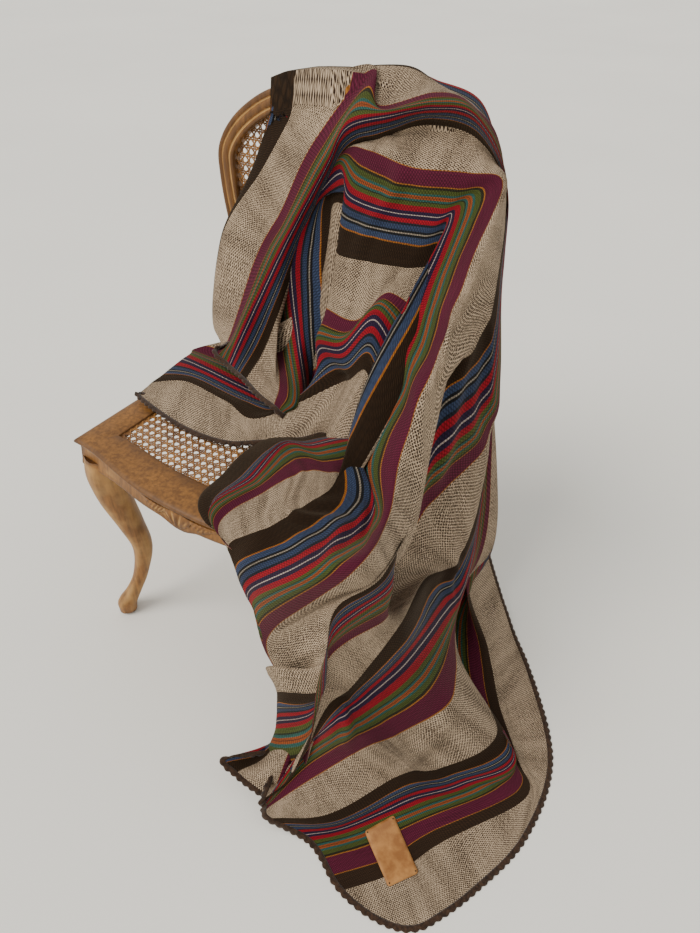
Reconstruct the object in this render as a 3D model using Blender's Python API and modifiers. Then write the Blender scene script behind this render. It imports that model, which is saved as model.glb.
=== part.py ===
"""A striped wool throw draped over a small cane chair with cabriole legs.

Metres, +Z up, +X to the right of someone who faces the chair, +Y towards its back. The
throw is one woven sheet. Its shape is given by the lines of its own stripes: each row of
FOLDS follows one stripe from the throw's first end to its last, past the same named
stations, and a smooth surface passes through them all.
"""

import math

import bmesh
import bpy
import numpy as np
from mathutils import Vector
from mathutils.bvhtree import BVHTree

# Driving sizes of the chair
SEAT_TOP = 0.450
SEAT_HALF_WIDTH = 0.265
SEAT_FRONT_Y = -0.210
SEAT_BACK_Y = 0.228
FRONT_BULGE = 0.036
RAIL_WIDTH = 0.060
RAIL_HEIGHT = 0.036
CANE_THICKNESS = 0.004
BACK_THICKNESS = 0.024
BACK_RAKE = math.atan(0.06)
BACK_FOOT_Y = 0.200
BACK_RAIL_WIDTH = 0.036
POST_PLACE = 0.165
POST_WIDTH = 0.030
FIT_GAP = 0.0003

# Driving sizes of the throw
CLOTH = 0.0024
CLOTH_LENGTH = 1.80
CLOTH_CORNER = 0.12
EDGING_WIDTH = 0.009
EDGING_THICKNESS = 0.0024
EDGING_GAP = 0.0008

# Runs of edging that show, as shares of the edge they follow
HEM_RUN_START = 0.52
END_RUN_START = 0.86
SEAT_RUN = (0.10, 0.24)
RISE_RUN = (0.34, 0.53)

# How the throw clears the chair and carries its label
CLOTH_CLEARANCE = 0.0055
CREST_LIFT = 0.034
CREST_SLOPE = 0.6
CREST_REACH = 0.045
LABEL_SIZE = (0.052, 0.088, 0.0014)
LABEL_PLACE = (0.445, -0.326)
LABEL_TURN = math.radians(56)
LABEL_LIFT = 0.0022
RIVET_RADIUS = 0.0012
RIVET_HEIGHT = 0.0008

# Grid of the throw: quads across its stripes and along them
QUADS_ACROSS = 42
QUADS_ALONG = 56

# The stations that every row of FOLDS passes, with the metres of cloth before each
STATIONS = (
    ("first end", 0.000), ("lower rise", 0.074), ("middle rise", 0.166), ("upper rise", 0.258),
    ("under the rim", 0.351), ("turn", 0.434), ("rim start", 0.498), ("rim middle", 0.572),
    ("rim end", 0.646), ("shoulder", 0.720), ("upper flank", 0.831), ("middle flank", 0.960),
    ("lower flank", 1.071), ("knee", 1.182), ("upper fall", 1.311), ("middle fall", 1.440),
    ("lower fall", 1.569), ("hem turn", 1.689), ("last end", CLOTH_LENGTH),
)

# Each row: stripe line, metres of cloth from the front hem, and the place of each station
# in centimetres as (x, y, z)
FOLDS = (
    ("front hem", 0, (
        (-12, -3, 45.7), (-20, -4.5, 45.7), (-25.5, -6.5, 46.2), (-13, -9, 45.8),
        (-3.5, -8.5, 45.8), (2, -5.5, 46.2), (7.5, -2, 46.8), (10, 1, 46.8), (12, -2, 46.5),
        (15, -3.5, 46.3), (14, -5.5, 46.3), (12, -7, 46.2), (5, -3.5, 46.1), (6, -4.5, 46.2),
        (4.5, -11.5, 46.1), (16.5, -25, 46), (20, -25.5, 33), (23, -25.5, 18), (27, -26, 5),
    )),
    ("band 1 brown", 0.091, (
        (-11, 3, 45.7), (-19, 2, 45.7), (-26, -3, 46.4), (-19.5, -0.5, 47.6), (-8.5, -2, 48.2),
        (-0.5, -3, 48.2), (8, 7.5, 52.1), (11.5, 6.5, 54.8), (14.5, 7, 56.8), (19, 2, 49),
        (18, -4, 47.5), (11.5, 1, 47), (7.5, -2, 47), (2.5, -6, 46.8), (2.5, -15, 46.8),
        (6, -24.5, 46), (19, -25.5, 33), (21, -26, 17), (25, -27, 4.5),
    )),
    ("band 1 green", 0.177, (
        (-10, 8, 45.8), (-17, 7.5, 45.8), (-26, 7.5, 47.2), (-18.5, 5.5, 48.6), (0, 5, 47.8),
        (4.5, 10, 50), (1.5, 11.5, 56.5), (7.5, 10.5, 58.9), (13.5, 12, 65.6), (21.5, 9, 56),
        (20, 0, 50), (16.5, -0.5, 49.2), (12.5, -5, 48.8), (8, -6.5, 48.2), (7, -15, 48),
        (8, -25, 46.6), (18, -26, 32), (19, -27, 16), (23, -28.5, 4),
    )),
    ("ground 1", 0.241, (
        (-6, 12, 46), (-13, 13, 46), (-25.5, 11.5, 47.6), (-10, 13, 47.8), (-1, 14, 49),
        (4, 15, 60), (2.5, 13.5, 62.3), (9, 12.5, 62.4), (14.5, 14, 68), (23.5, 13, 62),
        (22, 3, 54), (20, -5.5, 48.7), (18, -8.5, 48.7), (14.5, -10, 48.5), (12, -16.5, 48.2),
        (10, -25.5, 45.6), (17.5, -26, 31), (18, -27.5, 16), (23.5, -38, 3.5),
    )),
    ("band 2 brown", 0.326, (
        (3, 6, 47), (1, 14, 48.4), (0.5, 17, 58.1), (0, 18.5, 68.4), (0, 19.5, 77.3),
        (5.5, 19, 75.8), (2.5, 16.5, 71), (9.5, 15.5, 71.2), (15.5, 16, 71.5), (22.5, 17, 71.7),
        (23, 10, 62.4), (21.5, -6.5, 48.8), (20.5, -11, 49), (19, -16.5, 49), (16.5, -22.5, 47.8),
        (12, -26, 43.3), (20, -26, 29), (21, -31, 7), (18, -37.5, 5),
    )),
    ("band 2 blue", 0.372, (
        (2, 3, 48.6), (-0.5, 12, 46.9), (-3.5, 15.5, 56.6), (-4.5, 17.5, 68.6), (-2.5, 19, 77),
        (3, 19, 80.4), (3.5, 17.5, 77.9), (10.5, 16.5, 77.3), (18.5, 17, 77.7), (21, 17.5, 77.9),
        (19, 12.5, 70.1), (17, 4.5, 60.5), (17.5, -2, 52), (25, -10, 47.8), (21.5, -21.5, 46),
        (14.5, -27, 38.7), (21.5, -25.5, 25), (18.5, -31.5, 8.5), (15.5, -36.5, 6),
    )),
    ("band 2 green", 0.412, (
        (3, -0.5, 49), (3.5, 3.5, 50.2), (-6.5, 15, 53.8), (-8, 16.5, 67), (-4, 18.5, 76.9),
        (1, 19.5, 83.7), (4.5, 18.5, 81), (12, 17.5, 80.4), (20, 18, 80.9), (23, 18, 81),
        (21.5, 13.5, 70.2), (21.5, 5, 58.2), (20, -3, 48.8), (28, -12.5, 47.5), (27, -27, 49.4),
        (16, -27, 35), (22.5, -25.5, 22), (21, -27, 11.5), (22, -30, 4),
    )),
    ("ground 2", 0.477, (
        (1, -0.5, 50), (-1.5, 4.5, 51.5), (-12.5, 18, 50.9), (-9, 18.5, 65.9), (-3.5, 19.5, 79),
        (2, 20, 85.9), (7, 19, 86.8), (15, 18, 85.9), (23.5, 18.5, 86.4), (28.5, 19, 85.7),
        (28, 13, 77.5), (27.5, 6, 66.5), (28, -5, 55), (31, -14, 50.1), (32.5, -25.5, 50.7),
        (17.5, -26, 27.4), (20.5, -25, 13), (22, -28, 8), (23, -32, 2),
    )),
    ("pleat crest", 0.53, (
        (-3, 0.5, 50.4), (-5, 7.5, 52), (-10, 16.5, 55.3), (-7, 18.5, 68.5), (-2.5, 20, 80),
        (2.5, 20.5, 86), (7.5, 20.5, 88), (14, 21, 88.7), (23, 21, 88.8), (28, 21, 85),
        (30, 14, 76.8), (28.5, 5.5, 65.4), (30, 0, 50.3), (32.5, -10, 42.4), (33.5, -22.5, 46.9),
        (28, -26, 41.2), (28.5, -28, 31.5), (19.5, -27, 22.3), (21, -26, 15),
    )),
    ("band 3 brown", 0.562, (
        (-7.5, 2.5, 50.6), (-10.5, 12, 51.4), (-8, 15, 60.5), (-5.5, 18.5, 70.7), (-1, 20, 80.9),
        (3, 20.5, 86.2), (8.5, 21, 88.5), (14.5, 22, 90.6), (22.5, 22, 90), (27.5, 22.5, 84),
        (30.5, 17, 75.1), (30, 15, 64.8), (27, 7.5, 58.3), (30, -3, 44.9), (35, -20, 44.8),
        (29.5, -27, 40.6), (29.5, -28.5, 27.2), (21, -27, 17.5), (21, -26, 12),
    )),
    ("band 3 green", 0.648, (
        (-13.5, 4.5, 51.2), (-15, 11, 54.7), (-9.5, 14.5, 67.3), (-5.5, 16.5, 75.1), (0, 18, 84.6),
        (3.5, 18.5, 90.5), (10.5, 18.5, 92.5), (17.5, 19, 94.1), (23.5, 19.5, 93.4),
        (28, 21.5, 85.4), (30, 20, 72.4), (32, 17, 52.5), (29, 4, 46.3), (27, -9, 36),
        (35, -19, 43), (29.5, -27, 36.5), (28.5, -29.5, 20.5), (20, -28.5, 8), (21.5, -27, 8),
    )),
    ("ground 3", 0.713, (
        (-17, 6, 51.8), (-19, 11.5, 51.2), (-14.5, 16.5, 66.9), (-10, 18.5, 74.9), (-4, 20, 86.2),
        (4.5, 23.5, 96.9), (7.5, 20.5, 92.8), (16.5, 20.5, 95.3), (22, 21, 94.2),
        (26.5, 22.5, 88.2), (29, 22, 70.6), (33, 18, 46.2), (29, 3, 37.6), (29, -11, 30),
        (34.5, -18, 38.9), (29, -27.5, 32.4), (27.5, -32, 7.5), (19, -30.5, 4), (21.5, -29, 5),
    )),
    ("band 4 brown", 0.798, (
        (-19, 15, 50), (-27.5, 16.5, 49.2), (-24, 18.5, 67.7), (-15, 20, 79.9), (-10, 22, 88.2),
        (-6.5, 24.5, 94.2), (8, 24.5, 97.1), (15.5, 24, 95.6), (22, 24, 92.8), (25.5, 25, 86.1),
        (28, 24, 68), (33, 17, 35.9), (34.5, 6, 26.5), (33, -4, 29.9), (35.5, -17, 33.8),
        (32, -24.5, 24.9), (29, -28.5, 20.7), (26.5, -34, 7.5), (24.5, -38.5, 5.5),
    )),
    ("band 4 blue", 0.823, (
        (-18, 16, 50), (-25.5, 18, 50), (-22.5, 19.5, 67.5), (-17.5, 21, 79.6), (-14, 22.5, 88.2),
        (-11, 24.5, 93.8), (7.7, 25.7, 96.2), (14.5, 25.6, 95), (21.4, 25.6, 92.3),
        (25.2, 25.9, 84.8), (27.9, 24.6, 66.7), (33.3, 16.7, 33.4), (35.1, 6, 24.5),
        (34.2, -2.8, 26.5), (36.5, -16.5, 30.1), (32.5, -24, 23.1), (30.5, -29, 20.5),
        (26.6, -33.3, 8.2), (24.6, -38.6, 5.2),
    )),
    ("band 4 green", 0.884, (
        (-12, 16.5, 50), (-14, 19, 60), (-15, 20, 72), (-9, 21, 82), (1, 22, 95.2),
        (2.5, 27.5, 94.6), (7, 28.5, 94), (12, 29.5, 93.5), (20, 29.5, 91), (24.5, 28, 81.6),
        (27.5, 26, 63.5), (34, 16, 27.4), (36.5, 6, 19.6), (37, 0, 18.4), (38, -15, 21.6),
        (35, -23, 19.6), (32.5, -29, 19.5), (27, -31.5, 10), (25, -39, 4.5),
    )),
    ("band 5 brown", 1.033, (
        (0, 17, 50), (-2, 19, 60), (-3, 20, 72), (-1, 21.5, 84), (4, 22, 95.4), (5, 28, 94.6),
        (6, 30, 80), (13, 29.5, 76), (20, 29.5, 72), (24.5, 29, 73.6), (27.5, 27, 53.5),
        (36.5, 19, 22), (32.5, 10.5, 9), (38, 3.5, 4), (50.5, -6.5, 3.2), (45, -18.5, 4.5),
        (41, -24, 7), (34, -34, 3.5), (26, -39.5, 2.5),
    )),
    ("band 5 green", 1.12, (
        (6.3, 17.3, 50), (5.4, 19, 60), (3.9, 20.3, 72), (2.7, 21.5, 84), (6, 22, 95.4),
        (7, 28, 94.6), (8.1, 30.3, 72.6), (14.6, 29.8, 66.5), (21.1, 29.5, 61.4), (25.3, 29, 65.4),
        (28.3, 25.9, 45.4), (35.2, 15.6, 18.8), (34.5, 9.5, 5), (40.5, 1, 1.6), (55, -8.5, 2.2),
        (50.5, -17.5, 2.2), (44.5, -25, 2.2), (37.5, -33.5, 0.4), (33, -38, 0.2),
    )),
    ("ground 5", 1.197, (
        (12, 17.5, 50), (12, 19, 60), (10, 20.5, 72), (6, 21.5, 84), (8, 22, 95.4), (9, 28, 94.4),
        (10, 30.5, 66), (16, 30, 58), (22, 29.5, 52), (26, 29, 58), (29, 25, 38.1), (34, 12.5, 16),
        (41.5, 8, 4), (48, -0.5, 0.6), (54.5, -7.5, 0.5), (58.5, -13, 0.6), (49.5, -27, 0.3),
        (46, -34, 0.2), (40, -41, 0.1),
    )),
    ("back hem", 1.3, (
        (20, 18, 50), (21, 19.5, 60), (18, 20.5, 72), (12, 21.5, 84), (11, 22.5, 95.2),
        (12.5, 28.5, 94), (13, 31, 56), (18, 31, 46), (24, 31, 40), (27.5, 28, 37.9),
        (30.5, 23, 28), (34, 23, 14), (42.5, 18, 2), (51.5, 8.5, 0.1), (60, -5, 0.1),
        (61, -19, 0.1), (57.5, -30.5, 0.1), (53.5, -38.5, 0.1), (49, -45, 0.1),
    )),
)

# Outline of the chair back in its own plane: (half width, height above the seat)
BACK_SIDE = ((0.205, 0.080), (0.226, 0.160), (0.251, 0.248), (0.263, 0.322), (0.261, 0.373))
BACK_CREST = ((0.261, 0.373), (0.228, 0.420), (0.172, 0.460), (0.115, 0.482), (0.057, 0.493),
              (0.000, 0.497))

# Front leg: height, distance inwards from the seat's corner along the diagonal, radius
FRONT_LEG = ((0.4137, 0.046, 0.036), (0.366, 0.040, 0.036), (0.309, 0.042, 0.030),
             (0.241, 0.056, 0.024), (0.175, 0.066, 0.019), (0.106, 0.050, 0.015),
             (0.060, 0.028, 0.016), (0.030, 0.010, 0.020), (0.006, 0.006, 0.018))

# Back leg: height, y, radius
BACK_LEG = ((0.4137, 0.205, 0.019), (0.300, 0.208, 0.018), (0.150, 0.228, 0.017),
            (0.006, 0.262, 0.015))

# Colour, roughness and metallic value of each finish
FINISHES = {
    "throw_cloth": ((0.36, 0.28, 0.22), 0.95, 0.0),
    "edging_yarn": ((0.045, 0.028, 0.020), 0.90, 0.0),
    "label_leather": ((0.50, 0.27, 0.10), 0.60, 0.0),
    "rivet_brass": ((0.08, 0.06, 0.04), 0.45, 0.8),
    "chair_wood": ((0.42, 0.20, 0.09), 0.50, 0.0),
    "cane": ((0.62, 0.40, 0.17), 0.65, 0.0),
    "glide_plastic": ((0.75, 0.74, 0.70), 0.50, 0.0),
}


def clear_scene():
    """Remove every object that the file starts with."""
    for obj in list(bpy.data.objects):
        bpy.data.objects.remove(obj, do_unlink=True)


def finish(name):
    """The material of one finish, made once."""
    material = bpy.data.materials.get(name)
    if material:
        return material
    color, roughness, metallic = FINISHES[name]
    material = bpy.data.materials.new(name)
    material.use_nodes = True
    shader = material.node_tree.nodes["Principled BSDF"]
    shader.inputs["Base Color"].default_value = (*color, 1.0)
    shader.inputs["Roughness"].default_value = roughness
    shader.inputs["Metallic"].default_value = metallic
    return material


def place(obj, parent, finish_name, collection):
    """Put an object in the collection, under its parent, with its finish."""
    collection.objects.link(obj)
    obj.parent = parent
    obj.data.materials.append(finish(finish_name))
    return obj


def empty(name, collection, parent=None):
    """An empty that carries a group of pieces."""
    obj = bpy.data.objects.new(name, None)
    collection.objects.link(obj)
    obj.parent = parent
    return obj


# Smooth curves and the throw's surface


def cubic_weights(position, count):
    """The four neighbours of each position on a smooth curve of count points, and their weights."""
    cell = np.clip(np.floor(position).astype(int), 0, count - 2)
    t = position - cell
    weights = np.stack([
        -0.5 * t + t**2 - 0.5 * t**3,
        1 - 2.5 * t**2 + 1.5 * t**3,
        0.5 * t + 2 * t**2 - 1.5 * t**3,
        -0.5 * t**2 + 0.5 * t**3,
    ], axis=-1)
    first = cell == 0
    weights[first, 1] += 2 * weights[first, 0]
    weights[first, 2] -= weights[first, 0]
    weights[first, 0] = 0
    last = cell == count - 2
    weights[last, 2] += 2 * weights[last, 3]
    weights[last, 1] -= weights[last, 3]
    weights[last, 3] = 0
    neighbours = np.clip(cell[..., None] + np.arange(-1, 3), 0, count - 1)
    return neighbours, weights


def smooth_through(points, samples):
    """Points spread along a smooth curve through the given ones."""
    points = np.asarray(points, float)
    neighbours, weights = cubic_weights(np.linspace(0, len(points) - 1, samples), len(points))
    return np.einsum("sk,skd->sd", weights, points[neighbours])


def rounded_corners(along, across):
    """Cloth coordinates pulled in at the throw's four corners, so that they are round."""
    width = FOLDS[-1][1]
    end = np.minimum(along, CLOTH_LENGTH - along)
    side = np.minimum(across, width - across)
    p = np.maximum(CLOTH_CORNER - end, 0)
    q = np.maximum(CLOTH_CORNER - side, 0)
    both = (p > 0) & (q > 0)
    scale = np.where(both, np.maximum(p, q) / np.maximum(np.hypot(p, q), 1e-9), 1.0)
    end = np.where(both, CLOTH_CORNER - p * scale, end)
    side = np.where(both, CLOTH_CORNER - q * scale, side)
    along = np.where(along > CLOTH_LENGTH / 2, CLOTH_LENGTH - end, end)
    across = np.where(across > width / 2, width - side, side)
    return along, across


def throw_surface(along, across):
    """Places of the throw's middle surface at the given cloth coordinates."""
    rows = np.array([row[2] for row in FOLDS], float) / 100
    row_at = np.interp(across, [row[1] for row in FOLDS], np.arange(len(FOLDS)))
    station_at = np.interp(along, [s[1] for s in STATIONS], np.arange(len(STATIONS)))
    r, rw = cubic_weights(row_at, len(FOLDS))
    s, sw = cubic_weights(station_at, len(STATIONS))
    near = rows[r[..., :, None], s[..., None, :]]
    return clear_of_chair(np.einsum("...r,...s,...rsd->...d", rw, sw, near))


def clear_of_chair(points):
    """Push points of the throw off the chair's back and seat, and up to the floor."""
    points = points.copy()
    x, y, z = points[..., 0], points[..., 1], points[..., 2]
    rake = math.tan(BACK_RAKE)
    crest = np.array(BACK_CREST)
    crest_top = np.interp(np.abs(x), crest[::-1, 0], crest[::-1, 1], right=0.0)
    height = (z - SEAT_TOP) / math.cos(BACK_RAKE)
    front = BACK_FOOT_Y + rake * (z - SEAT_TOP) - CLOTH_CLEARANCE
    rear = front + BACK_THICKNESS + 2 * CLOTH_CLEARANCE
    aside = np.maximum(np.maximum(front - y, y - rear), 0)
    tent = crest_top + CREST_LIFT - CREST_SLOPE * aside
    near_top = (height > crest_top - CREST_REACH) & (height < tent)
    height = np.where(near_top & (crest_top > 0), tent, height)
    points[..., 2] = SEAT_TOP + height * math.cos(BACK_RAKE)
    z = points[..., 2]
    outline = np.array(sorted((h, w) for w, h in (*BACK_SIDE, *BACK_CREST[1:])))
    reach = np.interp(height, outline[:, 0], outline[:, 1], left=0.2, right=0.0)
    beside = (height > 0.07) & (height < BACK_CREST[-1][1]) & (np.abs(x) < reach + CLOTH_CLEARANCE)
    inside = beside & (y > front) & (y < rear)
    nearer_front = y - front < rear - y
    points[..., 1] = np.where(inside, np.where(nearer_front, front, rear), y)
    y = points[..., 1]
    lip = SEAT_FRONT_Y - front_bulge(x) - 2.5 * CLOTH_CLEARANCE
    over_seat = (y > lip) & (y < SEAT_BACK_Y) & (np.abs(x) < SEAT_HALF_WIDTH + CLOTH_CLEARANCE)
    low = over_seat & (z < SEAT_TOP + CLOTH_CLEARANCE) & (z > SEAT_TOP - 0.03)
    points[..., 2] = np.where(low, SEAT_TOP + CLOTH_CLEARANCE, z)
    below = over_seat & (z <= SEAT_TOP - 0.03) & (z > 0.37)
    points[..., 1] = np.where(below, lip, y)
    points[..., 2] = np.maximum(points[..., 2], CLOTH / 2)
    return points


def throw_grid():
    """The throw's points, as an array of rows across the stripes."""
    width = FOLDS[-1][1]
    across = np.linspace(0, width, QUADS_ACROSS + 1)[:, None] + np.zeros(QUADS_ALONG + 1)
    along = np.linspace(0, CLOTH_LENGTH, QUADS_ALONG + 1) + np.zeros_like(across)
    return throw_surface(*rounded_corners(along, across))


def sheet_object(name, points, thickness):
    """A thin sheet through a grid of points."""
    across, along = points.shape[:2]
    bm = bmesh.new()
    bmesh.ops.create_grid(bm, x_segments=along - 1, y_segments=across - 1, size=0.5)
    bm.verts.ensure_lookup_table()
    for vertex in bm.verts:
        i = round((vertex.co.y + 0.5) * (across - 1))
        j = round((vertex.co.x + 0.5) * (along - 1))
        vertex.co = points[i, j]
    mesh = bpy.data.meshes.new(name)
    bm.to_mesh(mesh)
    bm.free()
    mesh.shade_smooth()
    obj = bpy.data.objects.new(name, mesh)
    solidify = obj.modifiers.new("Thickness", "SOLIDIFY")
    solidify.thickness = thickness
    solidify.offset = 0.0
    return obj


def edging(name, edge, inner):
    """A strip worked along the throw's edge, just outside it."""
    outwards = edge - inner
    outwards /= np.linalg.norm(outwards, axis=1)[:, None]
    strip = np.stack([edge + outwards * step for step in (EDGING_GAP, EDGING_WIDTH / 2, EDGING_WIDTH)])
    strip[..., 2] = np.maximum(strip[..., 2], EDGING_THICKNESS / 2)
    return sheet_object(name, strip, EDGING_THICKNESS)


def build_throw(root, collection):
    """The throw, its worked edging where it shows, and the leather label with its rivets."""
    grid = throw_grid()
    place(sheet_object("throw", grid, CLOTH), root, "throw_cloth", collection)
    last = QUADS_ALONG
    side_from = round(QUADS_ALONG * HEM_RUN_START)
    end_from = round(QUADS_ACROSS * END_RUN_START)
    edge = np.concatenate([grid[-1, side_from:], grid[end_from:-1, last][::-1]])
    inner = np.concatenate([grid[-2, side_from:-1], grid[-2:-1, last - 1],
                            grid[end_from:-1, last - 1][::-1]])
    place(edging("edging_back_hem", edge, inner), root, "edging_yarn", collection)
    seat_run = slice(*(round(QUADS_ALONG * share) for share in SEAT_RUN))
    front = edging("edging_front_hem", grid[0, seat_run], grid[1, seat_run])
    place(front, root, "edging_yarn", collection)
    rise_run = slice(*(round(QUADS_ACROSS * share) for share in RISE_RUN))
    first = edging("edging_first_end", grid[rise_run, 0], grid[rise_run, 1])
    place(first, root, "edging_yarn", collection)
    build_label(grid, root, collection)


def build_label(grid, root, collection):
    """The leather label, lying on the throw where it spreads over the floor."""
    across, along = grid.shape[:2]
    corners = [Vector(p) for p in grid.reshape(-1, 3)]
    quads = [(i * along + j, i * along + j + 1, (i + 1) * along + j + 1, (i + 1) * along + j)
             for i in range(across - 1) for j in range(along - 1)]
    tree = BVHTree.FromPolygons(corners, quads)
    width, length, thickness = LABEL_SIZE
    turn = (math.cos(LABEL_TURN), math.sin(LABEL_TURN))
    highest = 0.0
    for a in np.linspace(-width / 2, width / 2, 9):
        for b in np.linspace(-length / 2, length / 2, 13):
            x = LABEL_PLACE[0] + a * turn[0] - b * turn[1]
            y = LABEL_PLACE[1] + a * turn[1] + b * turn[0]
            hit = tree.ray_cast(Vector((x, y, 0.3)), Vector((0, 0, -1)))[0]
            highest = max(highest, hit.z if hit and hit.z < 0.1 else 0.0)
    bottom = highest + CLOTH / 2 + LABEL_LIFT
    carrier = empty("label_place", collection, root)
    carrier.location = (*LABEL_PLACE, bottom)
    carrier.rotation_euler.z = LABEL_TURN
    label = box_object("label", LABEL_SIZE, (0, 0, thickness / 2))
    place(label, carrier, "label_leather", collection)
    inset = 0.005
    spots = [(sx * (width / 2 - inset), sy * (length / 2 - inset)) for sx in (-1, 1) for sy in (-1, 1)]
    for number, (x, y) in enumerate(spots, 1):
        top = thickness + FIT_GAP + RIVET_HEIGHT / 2
        rivet = disc_object(f"label_rivet_{number}", RIVET_RADIUS, RIVET_HEIGHT, (x, y, top))
        place(rivet, carrier, "rivet_brass", collection)


# Pieces of the chair


def box_object(name, size, location):
    """A box with the given sides, its origin at its middle."""
    bm = bmesh.new()
    bmesh.ops.create_cube(bm, size=1.0)
    bmesh.ops.scale(bm, vec=size, verts=bm.verts)
    mesh = bpy.data.meshes.new(name)
    bm.to_mesh(mesh)
    bm.free()
    obj = bpy.data.objects.new(name, mesh)
    obj.location = location
    return obj


def disc_object(name, radius, height, location, top_radius=None):
    """A round disc or a slightly tapered foot."""
    bm = bmesh.new()
    bmesh.ops.create_cone(bm, cap_ends=True, segments=16, radius1=radius,
                          radius2=top_radius or radius, depth=height)
    mesh = bpy.data.meshes.new(name)
    bm.to_mesh(mesh)
    bm.free()
    obj = bpy.data.objects.new(name, mesh)
    obj.location = location
    return obj


def board(name, outline, thickness, middle):
    """A flat board with the given outline, as a filled curve with half its thickness extruded."""
    curve = bpy.data.curves.new(name, "CURVE")
    curve.dimensions = "2D"
    curve.fill_mode = "BOTH"
    curve.extrude = thickness / 2
    spline = curve.splines.new("POLY")
    spline.points.add(len(outline) - 1)
    for point, (x, y) in zip(spline.points, outline):
        point.co = (x, y, 0.0, 1.0)
    spline.use_cyclic_u = True
    obj = bpy.data.objects.new(name, curve)
    obj.location.z = middle
    return obj


def limb(name, stations):
    """A round limb that swells and tapers, through (x, y, z, radius) stations."""
    points = smooth_through(stations, 3 * len(stations))
    points[1, :2] = points[0, :2]
    points[-2, :2] = points[-1, :2]
    curve = bpy.data.curves.new(name, "CURVE")
    curve.dimensions = "3D"
    curve.bevel_depth = 1.0
    curve.bevel_resolution = 2
    curve.use_fill_caps = True
    spline = curve.splines.new("POLY")
    spline.points.add(len(points) - 1)
    for point, (x, y, z, radius) in zip(spline.points, points):
        point.co = (x, y, z, 1.0)
        point.radius = radius
    return bpy.data.objects.new(name, curve)


def front_bulge(x):
    """How far the seat's front edge stands forward of its corners, as a serpentine."""
    t = np.clip(np.abs(x) / SEAT_HALF_WIDTH, 0, 1)
    return FRONT_BULGE * 0.5 * (1 + np.cos(math.pi * t**1.25))


def build_seat(root, collection):
    """The four seat rails and the cane panel between them."""
    half = SEAT_HALF_WIDTH
    inner = half - RAIL_WIDTH
    low_y = SEAT_FRONT_Y + RAIL_WIDTH * 0.8
    high_y = SEAT_BACK_Y - RAIL_WIDTH * 0.6
    middle = SEAT_TOP - RAIL_HEIGHT / 2
    xs = np.linspace(-half, half, 25)
    front = [(x, SEAT_FRONT_Y - front_bulge(x)) for x in xs]
    front += [(x, low_y - 0.5 * front_bulge(x)) for x in xs[::-1]]
    rails = {"seat_rail_front": front}
    for side, name in ((-1, "seat_rail_left"), (1, "seat_rail_right")):
        near = low_y + FIT_GAP
        far = high_y - FIT_GAP
        rails[name] = [(side * half, near), (side * half, far), (side * inner, far), (side * inner, near)]
    rails["seat_rail_back"] = [(-half, high_y), (half, high_y), (half, SEAT_BACK_Y), (-half, SEAT_BACK_Y)]
    for name, outline in rails.items():
        place(board(name, outline, RAIL_HEIGHT, middle), root, "chair_wood", collection)
    xs = np.linspace(-inner + FIT_GAP, inner - FIT_GAP, 15)
    panel = [(x, low_y - 0.5 * front_bulge(x) + FIT_GAP) for x in xs]
    panel += [(inner - FIT_GAP, high_y - FIT_GAP), (-inner + FIT_GAP, high_y - FIT_GAP)]
    cane = board("cane_seat", panel, CANE_THICKNESS, SEAT_TOP - 0.002 - CANE_THICKNESS / 2)
    place(cane, root, "cane", collection)


def build_legs(root, collection):
    """Two cabriole front legs, two raked back legs and a glide under each."""
    glide_height = 0.006 - FIT_GAP
    for side, word in ((-1, "left"), (1, "right")):
        diagonal = [(side * (SEAT_HALF_WIDTH - out / math.sqrt(2)), SEAT_FRONT_Y + out / math.sqrt(2), z, r)
                    for z, out, r in FRONT_LEG]
        place(limb(f"leg_front_{word}", diagonal), root, "chair_wood", collection)
        raked = [(side * (SEAT_HALF_WIDTH - 0.03), y, z, r) for z, y, r in BACK_LEG]
        place(limb(f"leg_back_{word}", raked), root, "chair_wood", collection)
        for end, foot in (("front", diagonal[-1]), ("back", raked[-1])):
            spot = (foot[0], foot[1], glide_height / 2)
            glide = disc_object(f"glide_{end}_{word}", 0.011, glide_height, spot, 0.013)
            place(glide, root, "glide_plastic", collection)


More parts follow.
